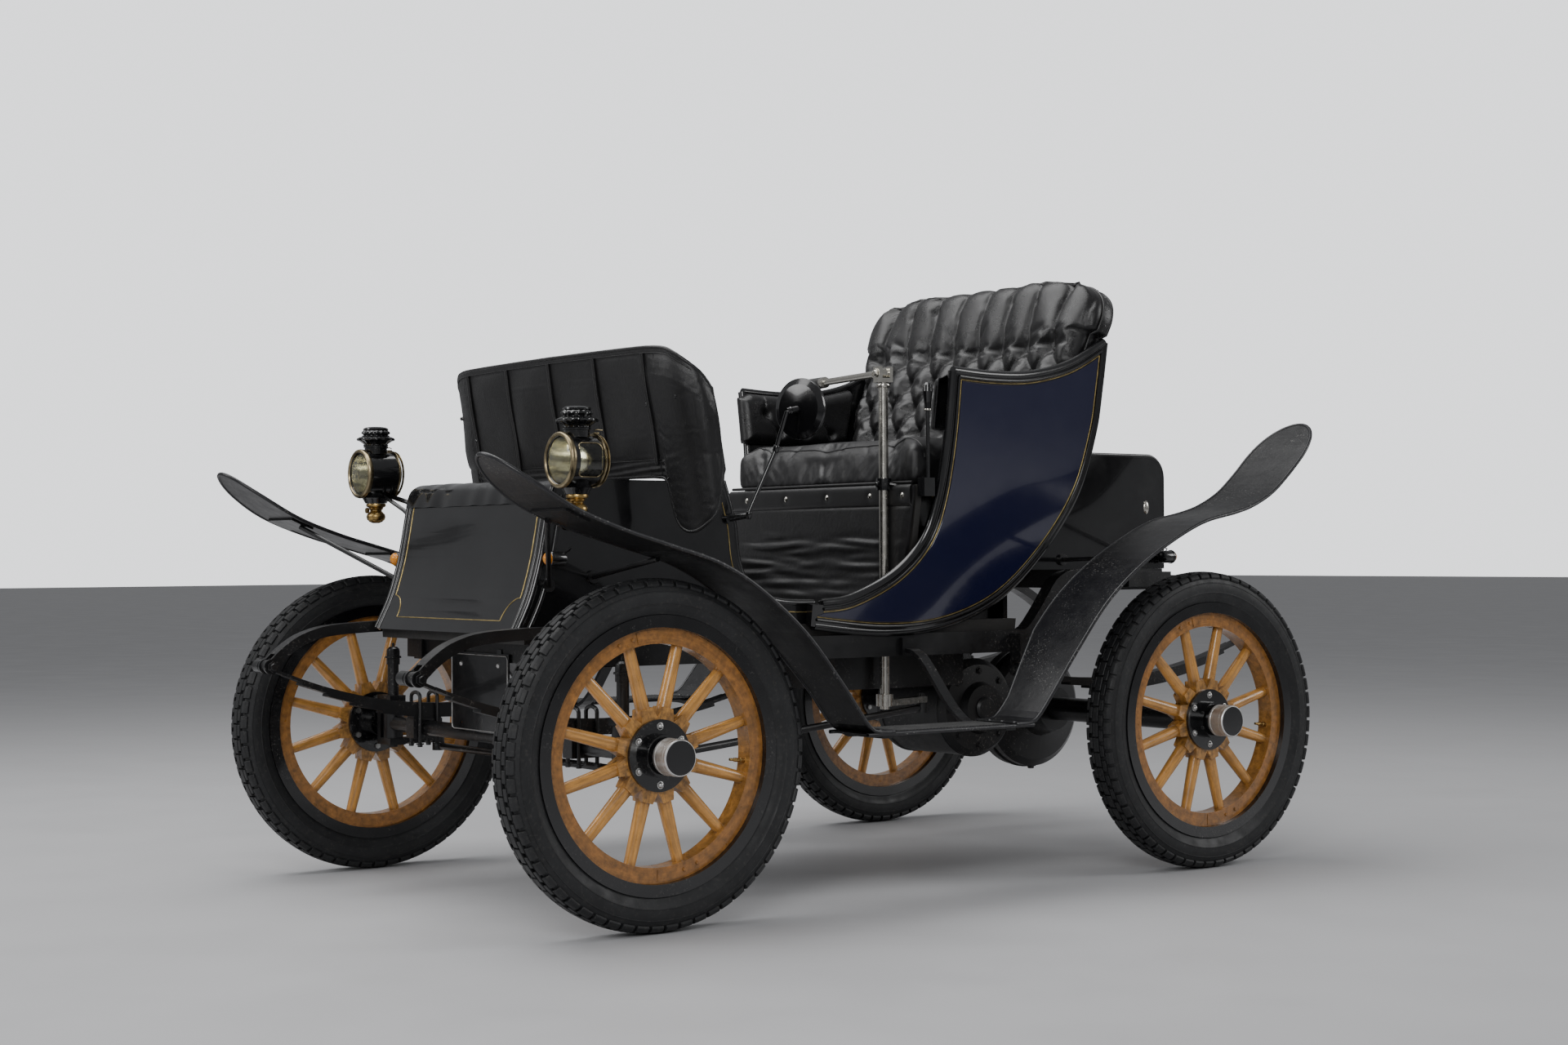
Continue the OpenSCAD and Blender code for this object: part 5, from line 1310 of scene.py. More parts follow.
class RUNABOUT_OT_side_pads(bpy.types.Operator):
    """Makes the two buttoned pads inside the leaning side panels"""

    bl_idname = "runabout.side_pads"
    bl_label = "Side pads"

    def execute(self, context):
        sizes = context.scene.runabout_seat
        rise = math.tan(BACK_ANGLE)
        thick = 0.034

        def at(y, z, out):
            """A place on the left panel's inner face, out from it towards the middle."""
            return Vector((leaned_x(z) - 0.0223 - out, y, z))

        buttons = mm((215, 1205), (305, 1205), (395, 1205), (260, 1150), (350, 1150), (440, 1150))
        creases = [(a, b) for a in buttons[:3] for b in buttons[3:] if math.dist(a, b) < 0.08]

        def top_at(y):
            return level_at([Vector(p) for p in ((0.15, 1.25), (0.176, 1.262), (0.3, 1.257), (0.43, 1.263),
                (0.56, 1.29))], y)

        def place(u, v):
            z_share = 1.124 + 0.13 * v
            y0 = 0.142
            y1 = BACK_Y + (z_share - DECK) * rise - 0.006
            y = y0 + (y1 - y0) * u
            z = 1.124 + (top_at(y) - 0.002 - 1.124) * v
            edge = min(u * (y1 - y0), (1 - u) * (y1 - y0) + 0.012, v * 0.13, (1 - v) * 0.13)
            crown = min(1.0, edge / 0.026)
            crown = math.sqrt(max(0.0, 1 - (1 - crown) ** 2))
            near = min(math.hypot(y - by, z - bz) for by, bz in buttons)
            line = 1.0
            for (ay, az), (by, bz) in creases:
                w = Vector((by - ay, bz - az))
                t = max(0.0, min(1.0, ((y - ay) * w.x + (z - az) * w.y) / w.length_squared))
                line = min(line, math.hypot(y - ay - t * w.x, z - az - t * w.y) / 0.012)
            for by, bz in buttons[:3]:
                if z > bz:
                    line = min(line, abs(y - by) / 0.011)
            dent = 0.62 * math.exp(-(near / 0.013) ** 2) + 0.22 * (1 - min(1.0, line)) ** 2
            return at(y, z, 0.004 + (thick - 0.004) * crown * (1 - min(0.8, dent)))

        pad = grid_piece(61, 121, place)
        walled(pad, 0.003, -1)
        studs = [soft_button(at(y, z, thick * 0.42), Vector((-1, 0, -LEAN)), sizes.button) for y, z in buttons]
        for cover in pair("side_pad", pad, "back_leather", "seat_side_pads", angle=180):
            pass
        pair("side_pad_buttons", studs, "button_leather")
        return {"FINISHED"}


class RUNABOUT_OT_dash(bpy.types.Operator):
    """Makes the leather dash: its puffed bays, piped seams, bound edge, hanging lobes and snaps"""

    bl_idname = "runabout.dash"
    bl_label = "Leather dash"

    def execute(self, context):
        sizes = context.scene.runabout_dash
        half_plan = curve(DASH_PLAN, 6)
        plan = [Vector((-p.x, p.y)) for p in reversed(half_plan[1:])] + half_plan
        walked = [0.0]
        for a, b in zip(plan, plan[1:]):
            walked.append(walked[-1] + (b - a).length)
        middle = walked[len(walked) // 2]
        outline = curve(DASH_OUTLINE, 4)
        turn_at = max(range(len(outline)), key=lambda i: outline[i].x)
        upper, lower = outline[:turn_at + 1], outline[turn_at:]

        def on_plan(s):
            """The plan's point and its outward normal at a walk from the middle."""
            s += middle
            i = max(0, min(len(plan) - 2, next((k for k in range(len(plan) - 1) if walked[k + 1] >= s),
                len(plan) - 2)))
            t = (s - walked[i]) / (walked[i + 1] - walked[i])
            p = plan[i].lerp(plan[i + 1], t)
            before, after = plan[max(i - 1, 0)], plan[min(i + 2, len(plan) - 1)]
            way = (after - before).normalized()
            return p, Vector((way.y, -way.x))

        def dash_point(s, z, out):
            p, normal = on_plan(s)
            x, y = p + normal * out
            c, w = math.cos(DASH_LEAN), math.sin(DASH_LEAN)
            return Vector((x, DASH_Y + y * c - z * w, FRONT_TOP + 0.0003 + y * w + z * c))

        reach = next(walked[i] - middle for i in range(len(plan)) if plan[i].x >= 0.5455)
        stops = [i / 200 * reach for i in range(-200, 201)]
        dense = [k for k in np.linspace(0.424, 0.452, 15)]
        stops = sorted(stops + [k * 1.0 for k in dense] + [-k for k in dense])
        seams = [k * sizes.pleat for k in (-2, -1, 0, 1, 2)]

        def span(s):
            x = min(abs(on_plan(s)[0].x), 0.5455)
            return level_at(lower, x), level_at(upper, x)

        def shape(s, z, low, high):
            """How far the hide stands out over its board."""
            inside = min(z - low, high - z)
            gap = min(abs(s - k) for k in seams)
            bay = min(1.0, gap / (sizes.pleat * 0.42))
            bulge = 0.0048 * math.sin(bay * math.pi / 2) ** 0.9
            groove = 0.003 * math.exp(-((gap - 0.0075) / 0.0035) ** 2)
            ends = min(1.0, max(0.0, (z - 0.05) / 0.05)) * min(1.0, max(0.0, (high - 0.022 - z) / 0.045))
            soft = 0.003 * math.sin(9 * s + 14 * z) + 0.0022 * math.sin(23 * s - 16 * z + 1.3)
            out = 0.004 + (bulge + soft) * ends ** 0.6 - groove * min(1.0, ends * 2)
            if z < 0.055 and abs(s) < 0.44:
                out += 0.0032 * math.sin(z * 420 + 2.5 * math.sin(11 * s)) * math.exp(-((z - 0.026) / 0.018) ** 2)
            if abs(s) > 0.47:
                out += 0.0045 * math.exp(-((abs(s) - 0.555) / 0.016) ** 2) * min(1.0, inside / 0.02)
            return max(0.0035, out) * min(1.0, 0.55 + inside / 0.025)

        def place(u, v):
            s = stops[round(u * (len(stops) - 1))]
            low, high = span(s)
            share = 0.5 - 0.5 * math.cos(math.pi * v) if abs(s) < 0.42 else v
            z = low + (high - low) * (0.5 * share + 0.5 * v)
            return dash_point(s, z, shape(s, z, low, high))

        front = grid_piece(67, len(stops), place)
        held = front.vertex_groups.new(name="held")
        columns = len(stops)
        for index in range(len(front.data.vertices)):
            s, v = stops[index % columns], (index // columns) / 66
            gap = min(abs(s - k) for k in seams)
            edge = min(v, 1 - v) * 66
            hold = 1.0 if edge < 3 or gap < 0.012 or abs(s) > reach - 0.01 else 0.25
            held.add([index], hold, "REPLACE")
        puffed(front, 2.0, 0.0035, "held", 10, 0.004)
        front.vertex_groups.clear()
        wall = front.modifiers.new("hide", "SOLIDIFY")
        wall.thickness, wall.offset = 0.0065, -1
        bpy.ops.object.modifier_apply(modifier=wall.name)
        tidy(front, 1e-6)
        front = done("dash_leather", front, "dash_hide", "leather_dash", angle=80)

        lines = []
        for s in seams:
            low, high = span(s)
            low = max(low, 0.036) if abs(s) < 0.44 else low + 0.02
            line = []
            for z in np.linspace(high - 0.016, low, 40):
                hit = dash_point(s + 0.0015 * math.sin(z * 21), z, 0.0074 + 0.0008 * math.sin(z * 38))
                line.append(hit)
            lines.append(strung(line, sizes.seam, sides=2))
        done("dash_seams", lines, "dash_hide", angle=80)

        bound = []
        top = [(s, span(s)[1] - 0.004) for s in stops]
        foot = [(s, span(s)[0] + 0.004) for s in reversed(stops)]
        for s, z in top + foot:
            bound.append(dash_point(s, z, 0.0006))
        ring = [bound[0]]
        for p in bound[1:]:
            if (p - ring[-1]).length > 0.003:
                ring.append(p)
        edge = strung(ring, sizes.edge, closed=True, sides=3)
        done("dash_binding", edge, "back_leather", angle=80)
        hem = [strung([dash_point(s, span(s)[1] - 0.016, 0.0052) for s in stops[::4] if abs(s) < reach - 0.03],
            0.0011, sides=1), strung([dash_point(s, 0.046, 0.0058) for s in stops[::3] if abs(s) < 0.425], 0.0011,
            sides=1)]
        done("dash_stitching", hem, "dash_hide", angle=80)
        snaps = []
        for s, z in ((-0.41, 0.125), (0.405, 0.175), (0.5, 0.185), (0.205, 0.044), (-0.205, 0.044), (-0.5, 0.185)):
            at, out = dash_point(s, z, 0.0085), dash_point(s, z, 1) - dash_point(s, z, 0)
            snaps.append(turned(mm((0, 4.2), (3, 3.8), (4.6, 2), (5.2, -3), (0, -3)), at, out, 16))
        done("dash_snaps", snaps, "lamp_black")
        return {"FINISHED"}


def lamp_at(back=0.0, up=0.0, side=0.0):
    return LAMP + Vector((side, back, up))


def scalloped(piece, count, deep, low, high, centre):
    """Presses flutes round a turned crown between two heights."""
    for v in piece.data.vertices:
        if low <= v.co.z <= high:
            out = Vector((v.co.x - centre.x, v.co.y - centre.y))
            if out.length > 0.02:
                ring = math.sin(math.pi * (v.co.z - low) / (high - low))
                turn = math.atan2(out.y, out.x)
                share = 1 - deep * ring * (0.5 - 0.5 * math.cos(count * turn))
                v.co.x, v.co.y = centre.x + out.x * share, centre.y + out.y * share
    return piece


class RUNABOUT_OT_lamps(bpy.types.Operator):
    """Makes the two oil lamps: drums with a side window, brass rims, lenses, reflectors, crowns and founts"""

    bl_idname = "runabout.lamps"
    bl_label = "Oil lamps"

    def execute(self, context):
        sizes = context.scene.runabout_lamps
        r, back = LAMP_R, Vector((0, 1, 0))
        chimney = Vector((LAMP.x, CHIMNEY_Y, LAMP.z))

        # drum, open behind its lens and cut for the side window
        shell = turned([(r - 0.0085, 0.002), (r - 0.0075, 0.01), (r - 0.0075, 0.086), (r - 0.011, 0.09),
            (r - 0.024, 0.1), (r - 0.045, 0.108), (0, 0.109), (0, 0.1065), (r - 0.046, 0.1055), (r - 0.026, 0.0975),
            (r - 0.013, 0.0875), (r - 0.0105, 0.083), (r - 0.0105, 0.004), (r - 0.0085, 0.002)], LAMP, back, 64)
        cutter = block((0.07, 0.058, 0.074), lamp_at(0.052, 0, r), 0.012, 3)
        shaped(shell, "BOOLEAN", object=cutter, operation="DIFFERENCE", solver="EXACT")
        only(cutter)
        bpy.ops.object.delete()
        body = [tidy(shell)]
        foot = turned([(0, -r - 0.0118), (0.027, -r - 0.0118), (0.03, -r - 0.006), (0.0325, -r - 0.002),
            (0.0345, -r + 0.002), (0.03, -r + 0.006), (0.026, -r + 0.016), (0, -r + 0.016)], chimney, (0, 0, 1), 40)
        crown = turned([(0, r - 0.012), (0.028, r - 0.012), (0.0285, r + 0.004), (0.031, r + 0.005),
            (0.031, r + 0.008), (0.0285, r + 0.009), (0.03, r + 0.013), (0.034, r + 0.016), (0.041, r + 0.0205),
            (0.0475, r + 0.0225), (0.0485, r + 0.0255), (0.047, r + 0.028), (0.041, r + 0.031), (0.034, r + 0.033),
            (0.031, r + 0.035), (0.032, r + 0.0375), (0.036, r + 0.04), (0.0365, r + 0.043), (0.034, r + 0.046),
            (0.031, r + 0.0475), (0.032, r + 0.05), (0.031, r + 0.053), (0.026, r + 0.0555), (0.018, r + 0.057),
            (0, r + 0.0575)], chimney, (0, 0, 1), 72)
        flutes = sizes.flutes
        scalloped(crown, flutes, 0.1, LAMP.z + r + 0.013, LAMP.z + r + 0.028, chimney)
        scalloped(crown, flutes, 0.08, LAMP.z + r + 0.0375, LAMP.z + r + 0.05, chimney)
        body += [foot, crown]
        for height, radius, bead in ((r + 0.0335, 0.0325, 0.0026), (r + 0.0105, 0.0295, 0.0022)):
            first = turned([(0, bead), (bead * 0.8, bead * 0.6), (bead, 0), (0, 0)],
                chimney + Vector((0, radius, height)), (0, 1, 0), 8)
            body.append(ringed(first, flutes, chimney + Vector((0, 0, height)), (0, 0, 1)))
        # bracket socket and its two stays
        body.append(strung([chimney + Vector((0, 0.03, -r + 0.01)), Vector((BOX_HALF + 0.05, CHIMNEY_Y + 0.052,
            LAMP.z - 0.076)), Vector((BOX_HALF + 0.006, CHIMNEY_Y + 0.076, 0.912))], 0.0062, sides=4))
        body.append(strung([chimney + Vector((-0.02, 0.01, -r + 0.008)), Vector((BOX_HALF + 0.06, CHIMNEY_Y + 0.034,
            LAMP.z - 0.092)), Vector((BOX_HALF + 0.006, CHIMNEY_Y + 0.06, 0.88))], 0.0052, sides=4))
        for y, z in ((0.076, 0.912), (0.06, 0.88)):
            spot = Vector((BOX_HALF, CHIMNEY_Y + y, z))
            body.append(turned(mm((0, 0.3), (12, 0.3), (12, 5), (9, 8), (0, 9)), spot, (1, 0, 0), 24))
        pair("lamp", body, "lamp_black", "headlamps", angle=35)

        # brass: front rim, the double ring behind, the window's frame, a catch and the fount
        rim = sizes.rim
        brass = [turned([(r - 0.0095, -0.0005), (r - 0.008, -0.0035), (r - 0.0045, -0.004), (r - 0.001, -0.0015),
            (r, 0.003), (r - 0.0005, 0.0075), (r - 0.003, 0.0105), (r - 0.0072, 0.0115), (r - 0.0072, 0.002),
            (r - 0.0095, -0.0005)], LAMP, back, 72)]
        for place, grow in ((0.0865, 0.0), (0.0955, -0.002)):
            brass.append(turned([(r - 0.0095, -rim), (r - 0.004 + grow, -rim), (r - 0.0022 + grow, -rim * 0.4),
                (r - 0.0022 + grow, rim * 0.4), (r - 0.004 + grow, rim), (r - 0.0115, rim), (r - 0.0095, -rim)],
                lamp_at(place), back, 64))
        half_y, half_z = 0.0295, 0.0375
        frame_line = []
        for cy, cz, start in ((half_y - 0.012, half_z - 0.012, 0), (-half_y + 0.012, half_z - 0.012, 90),
                (-half_y + 0.012, -half_z + 0.012, 180), (half_y - 0.012, -half_z + 0.012, 270)):
            for k in range(7):
                a = math.radians(start + 15 * k)
                y, z = cy + 0.012 * math.cos(a), cz + 0.012 * math.sin(a)
                frame_line.append(lamp_at(0.052 + y, z, math.sqrt((r - 0.0074) ** 2 - z * z)))
        brass.append(strung(frame_line, 0.0014, closed=True, sides=2))
        brass.append(block((0.008, 0.012, 0.004), lamp_at(0.089, r - 0.002, 0.01), 0.001))
        brass.append(strung([lamp_at(0.08, r + 0.004, 0.018), lamp_at(0.09, r + 0.006, 0.012),
            lamp_at(0.1, r + 0.004, 0.02)], 0.0013, sides=2))
        pair("lamp_brass", brass, "rim_brass", angle=50)

        fount = turned(mm((0, -50), (8, -50), (16.5, -46.5), (22.5, -40.5), (24, -34), (22.8, -28), (16.5, -21.5),
            (14.5, -19), (15, -16.5), (18.5, -13.5), (17.5, -11.5), (24.5, -7.5), (25, -4.5), (24, -0.5), (0, -0.5)),
            chimney + Vector((0, 0, -r - 0.012)), (0, 0, 1), 48)
        wheel_piece = turned(mm((0, -3), (7, -3), (7.5, 0), (7, 3), (0, 3)), chimney +
            Vector((0, -0.0245, -r - 0.03)), (0, 1, 0), 18)
        pair("lamp_fount", [fount, wheel_piece], "aged_brass", "headlamp_founts", angle=35)

        # reflector, burner and glass
        inner = r - 0.0112
        bowl = turned([(inner, 0.006), (inner * 0.985, 0.014), (inner * 0.93, 0.032), (inner * 0.8, 0.052),
            (inner * 0.58, 0.068), (inner * 0.32, 0.077), (0, 0.08), (0, 0.0815), (inner * 0.34, 0.0785),
            (inner * 0.6, 0.0695), (inner * 0.82, 0.0535), (inner * 0.95, 0.0325), (inner * 1.0, 0.014),
            (inner, 0.006)], LAMP, back, 56)
        burner = turned(mm((0, -50), (14, -50), (14, -30), (10, -26), (10, -16), (7.5, -12), (7.5, -4), (5.5, -2),
            (0, -2)), lamp_at(0.046), (0, 0, 1), 24)
        lining = turned([(inner - 0.0005, 0.083), (inner - 0.006, 0.086), (0, 0.088), (0, 0.0895),
            (inner - 0.004, 0.0878), (inner - 0.0002, 0.0845), (inner - 0.0005, 0.083)], LAMP, back, 48)
        pair("lamp_reflector", [tidy(bowl), burner, lining], "reflector")
        lens = turned([(0, -0.0048), (0.018, -0.0043), (0.034, -0.0026), (0.045, 0.0), (r - 0.01, 0.003),
            (r - 0.01, 0.0045), (0.045, 0.0025), (0.034, 0.0001), (0.018, -0.0016), (0, -0.0021)], LAMP, back, 64)

        def pane_point(u, v):
            y, z = (2 * u - 1) * half_y, (2 * v - 1) * half_z
            corner = 0.012
            dy, dz = max(0, abs(y) - (half_y - corner)), max(0, abs(z) - (half_z - corner))
            pull = math.hypot(dy, dz)
            if pull > corner:
                y -= math.copysign(dy * (1 - corner / pull), y)
                z -= math.copysign(dz * (1 - corner / pull), z)
            return lamp_at(0.052 + y, z, math.sqrt((r - 0.0086) ** 2 - z * z))

        pane = grid_piece(25, 21, pane_point)
        walled(pane, 0.0016)
        pair("lamp_glass", [lens, tidy(pane)], "lamp_glass", "headlamp_lenses", angle=50)
        return {"FINISHED"}


PIN = Vector((0.3, 0.072, 1.268))
BAR_WAY = Vector((-0.46, 0.095, 0)).normalized()
MIRROR = Vector((0.45, -0.302, 1.157))
MIRROR_WAY = Vector((-0.2588, 0.9659, 0))
SPRING_X = 0.38
# Each spring's front and rear eye and the axle it carries, as y, z
SPRINGS = {"front": ((-1.287, 0.547), (-0.432, 0.495)), "rear": ((0.458, 0.51), (1.287, 0.575))}
KINGPIN_X = 0.55


def bolt(place, way, radius=0.008, head=0.006):
    """A bolt's six-sided head on its washer."""
    return turned([(0, head), (radius * 0.72, head), (radius * 0.86, head * 0.8), (radius * 0.86, head * 0.22),
        (radius * 1.3, head * 0.2), (radius * 1.3, -0.001), (0, -0.001)], place, way, 6)


class RUNABOUT_OT_indicators(bpy.types.Operator):
    """Makes the four small side lamps: black housings, amber domes, rims and wire loops"""

    bl_idname = "runabout.indicators"
    bl_label = "Small amber lamps"

    def execute(self, context):
        low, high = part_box("indicators")
        for end, at, way in (("front", Vector((0.374, low.y + 0.016, 0.804)), -1),
                ("rear", Vector((0.374, high.y - 0.016, 0.8)), 1)):
            out = Vector((0, way, 0))
            housing = turned(mm((0, -40), (9.5, -40), (15, -36.5), (16.8, -32), (17, -4), (18.5, -3), (18.8, 0.5),
                (18, 3), (16.6, 3.6), (16, 0.5), (0, 0.5)), at, out, 32)
            stem = strung([Vector((BOX_HALF, at.y - way * 0.012, at.z)), Vector((at.x - 0.01, at.y - way * 0.012,
                at.z))], 0.0068, sides=3)
            foot = turned(mm((0, 4.5), (8.5, 4.5), (11.8, 2.2), (12, 0.2), (0, 0.2)),
                Vector((BOX_HALF, at.y - way * 0.012, at.z)), (1, 0, 0), 20)
            wire = strung([at + Vector((0.006, -way * 0.03, 0.01)), at + Vector((0.02, -way * 0.034, 0.022)),
                at + Vector((0.016, -way * 0.046, 0.026)), at + Vector((-0.004, -way * 0.052, 0.018)),
                at + Vector((-0.022, -way * 0.046, 0.01)), Vector((BOX_HALF + 0.001, at.y - way * 0.04,
                at.z + 0.004))], 0.0016, sides=2)
            pair(f"small_lamp_{end}", [housing, stem, foot, wire], "lamp_black",
                "indicators" if end == "front" else None, angle=35)
            dome = turned(mm((16.4, 0.8), (16, 4.2), (15, 7.5), (12.8, 11), (9, 14), (4.5, 15.6), (0, 16), (0, 12),
                (8.5, 10), (12.8, 6), (14, 0.8), (16.4, 0.8)), at, out, 32)
            cell = turned(mm((0, 5.2), (6, 4.8), (12, 1), (12, 0.6), (0, 0.6)), at, out, 24)
            pair(f"small_lamp_glass_{end}", [dome, cell], "amber_glass", angle=60)
        return {"FINISHED"}


class RUNABOUT_OT_controls(bpy.types.Operator):
    """Makes the mirror's glass, the tiller's ferrules and grip, the post clamp and its strut, and the lever's ring"""

    bl_idname = "runabout.controls"
    bl_label = "Mirror, tiller and controls"

    def execute(self, context):
        r = 0.0725
        glass = turned([(0, 0.0052), (0.04, 0.0049), (r - 0.008, 0.0043), (r - 0.0078, 0.0038), (0, 0.0038)], MIRROR,
            MIRROR_WAY, 48)
        done("mirror_glass", glass, "mirror_silver", angle=50)
        rim = [turned([(r - 0.0085, 0.004), (r - 0.006, 0.006), (r - 0.002, 0.0064), (r + 0.0008, 0.0044),
            (r + 0.0012, 0.0012), (r + 0.0008, -0.0014), (r - 0.0004, -0.0024), (r - 0.0004, 0.004),
            (r - 0.0085, 0.004)], MIRROR, MIRROR_WAY, 56)]
        rim.append(turned(mm((0, 4), (6, 3.5), (9, 1), (9, -4), (0, -4)), Vector((0.4485, -0.332, 1.1525)),
            (0, -1, 0.2), 16))
        for place in ((0.42, -0.352, 1.062), (0.396, -0.416, 0.904)):
            way = Vector((0.28, 0.1, 0.95))
            rim.append(turned(mm((0, 9.5), (6.2, 8.5), (7.8, 5), (7.8, -5), (6.2, -8.5), (0, -9.5)), place, way, 18))
        done("mirror_rim", rim, "lamp_black")

        # tiller bar
        at = lambda along, up=0.0: PIN + BAR_WAY * along + Vector((0, 0, up))
        bar = [turned(mm((9.2, -4), (12.5, -3), (13, 0), (12.5, 3), (9.2, 4)), at(0.04), BAR_WAY, 28),
            turned(mm((9.2, -10), (15, -9), (15.2, 6), (14.2, 9), (9.2, 10)), at(0.346), BAR_WAY, 28)]
        side_way = Vector((-BAR_WAY.y, BAR_WAY.x, 0))
        for s in (-1, 1):
            bar.append(bolt(PIN + side_way * s * 0.0215, side_way * s, 0.0085, 0.004))
        done("tiller_fittings", bar, "nickel", angle=35, body="tiller_bar")
        grip = [(0.0141, 0.354)]
        for k in range(14):
            start = 0.358 + k * 0.0076
            grip += [(0.0141, start), (0.0152, start + 0.0012), (0.0154, start + 0.0034), (0.0152, start + 0.0056)]
        grip += mm((15, 465.5), (13.5, 470), (9, 472.5), (0, 473), (0, 354), (14.1, 354))
        done("tiller_grip", turned(grip, PIN, BAR_WAY, 36), "grip_rubber", angle=50, body="tiller_bar")

        # tiller post: collars under the fork and at the floor
        post = []
        radius = 0.0125
        for z, wide in ((1.236, 0.0045), (0.7, 0.006)):
            spot = Vector((PIN.x, PIN.y, z))
            post.append(turned([(radius + 0.0006, -wide), (radius + 0.005, -wide * 0.8), (radius + 0.0062, 0),
                (radius + 0.005, wide * 0.8), (radius + 0.0006, wide)], spot, (0, 0, 1), 32))
        done("post_collars", post, "nickel", body="tiller_column")
        spot = Vector((PIN.x, PIN.y, 0.987))
        clamp = [turned([(radius + 0.0008, -0.016), (radius + 0.0068, -0.015), (radius + 0.0075, 0),
            (radius + 0.0068, 0.015), (radius + 0.0008, 0.016)], spot, (0, 0, 1), 32)]
        end = Vector((leaned_x(0.955) - 0.024, 0.166, 0.955))
        clamp.append(strung([spot + Vector((0.016, 0.006, 0)), spot + Vector((0.04, 0.03, -0.006)), end], 0.0042,
            sides=3))
        clamp.append(bolt(spot + Vector((0.0, -0.0205, 0)), (0, -1, 0), 0.0065, 0.005))
        done("post_clamp", clamp, "lamp_black")
        knob = turned(mm((0, 14), (6, 13.2), (9.2, 9.5), (10, 4), (8.5, -1), (5, -3), (5, -8), (11, -9), (11, -12),
            (0, -12)), end, (-0.6, -0.75, 0.2), 28)
        done("clamp_knob", knob, "aged_brass")

        # control lever's ring
        low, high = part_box("control_lever")
        ring = turned(mm((7, -3), (10, -2), (10.5, 0), (10, 2), (7, 3)), Vector((low.x + 0.014, low.y + 0.022,
            DECK + 0.186)), (0, 0, 1), 24)
        done("lever_ring", ring, "nickel")

        # number plate: a raised edge, and the two bolts
        low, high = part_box("number_plate")
        top = 0.58
        inset = 0.0045
        corners = [(low.x + inset, low.z + inset), (high.x - inset, low.z + inset), (high.x - inset, top - inset),
            (low.x + inset, top - inset)]
        line = []
        for i, (x, z) in enumerate(corners):
            cx, cz = x + (0.01 if i in (0, 3) else -0.01), z + (0.01 if i < 2 else -0.01)
            start = (180, 270, 0, 90)[i]
            line += arc((cx, low.y - 0.0004, cz), 0.01, start, start + 90, 6, (1, 0, 0), (0, 0, 1))
        edge = [strung(line, 0.0016, closed=True, sides=2)]
        for x in (low.x + 0.05, high.x - 0.05):
            edge.append(turned(mm((0, 4), (3.4, 3.4), (5.6, 1.4), (6.2, -0.4), (0, -0.4)), (x, low.y, top - 0.028),
                (0, -1, 0), 18))
        done("plate_edge", edge, "bright_steel", angle=50)
        return {"FINISHED"}


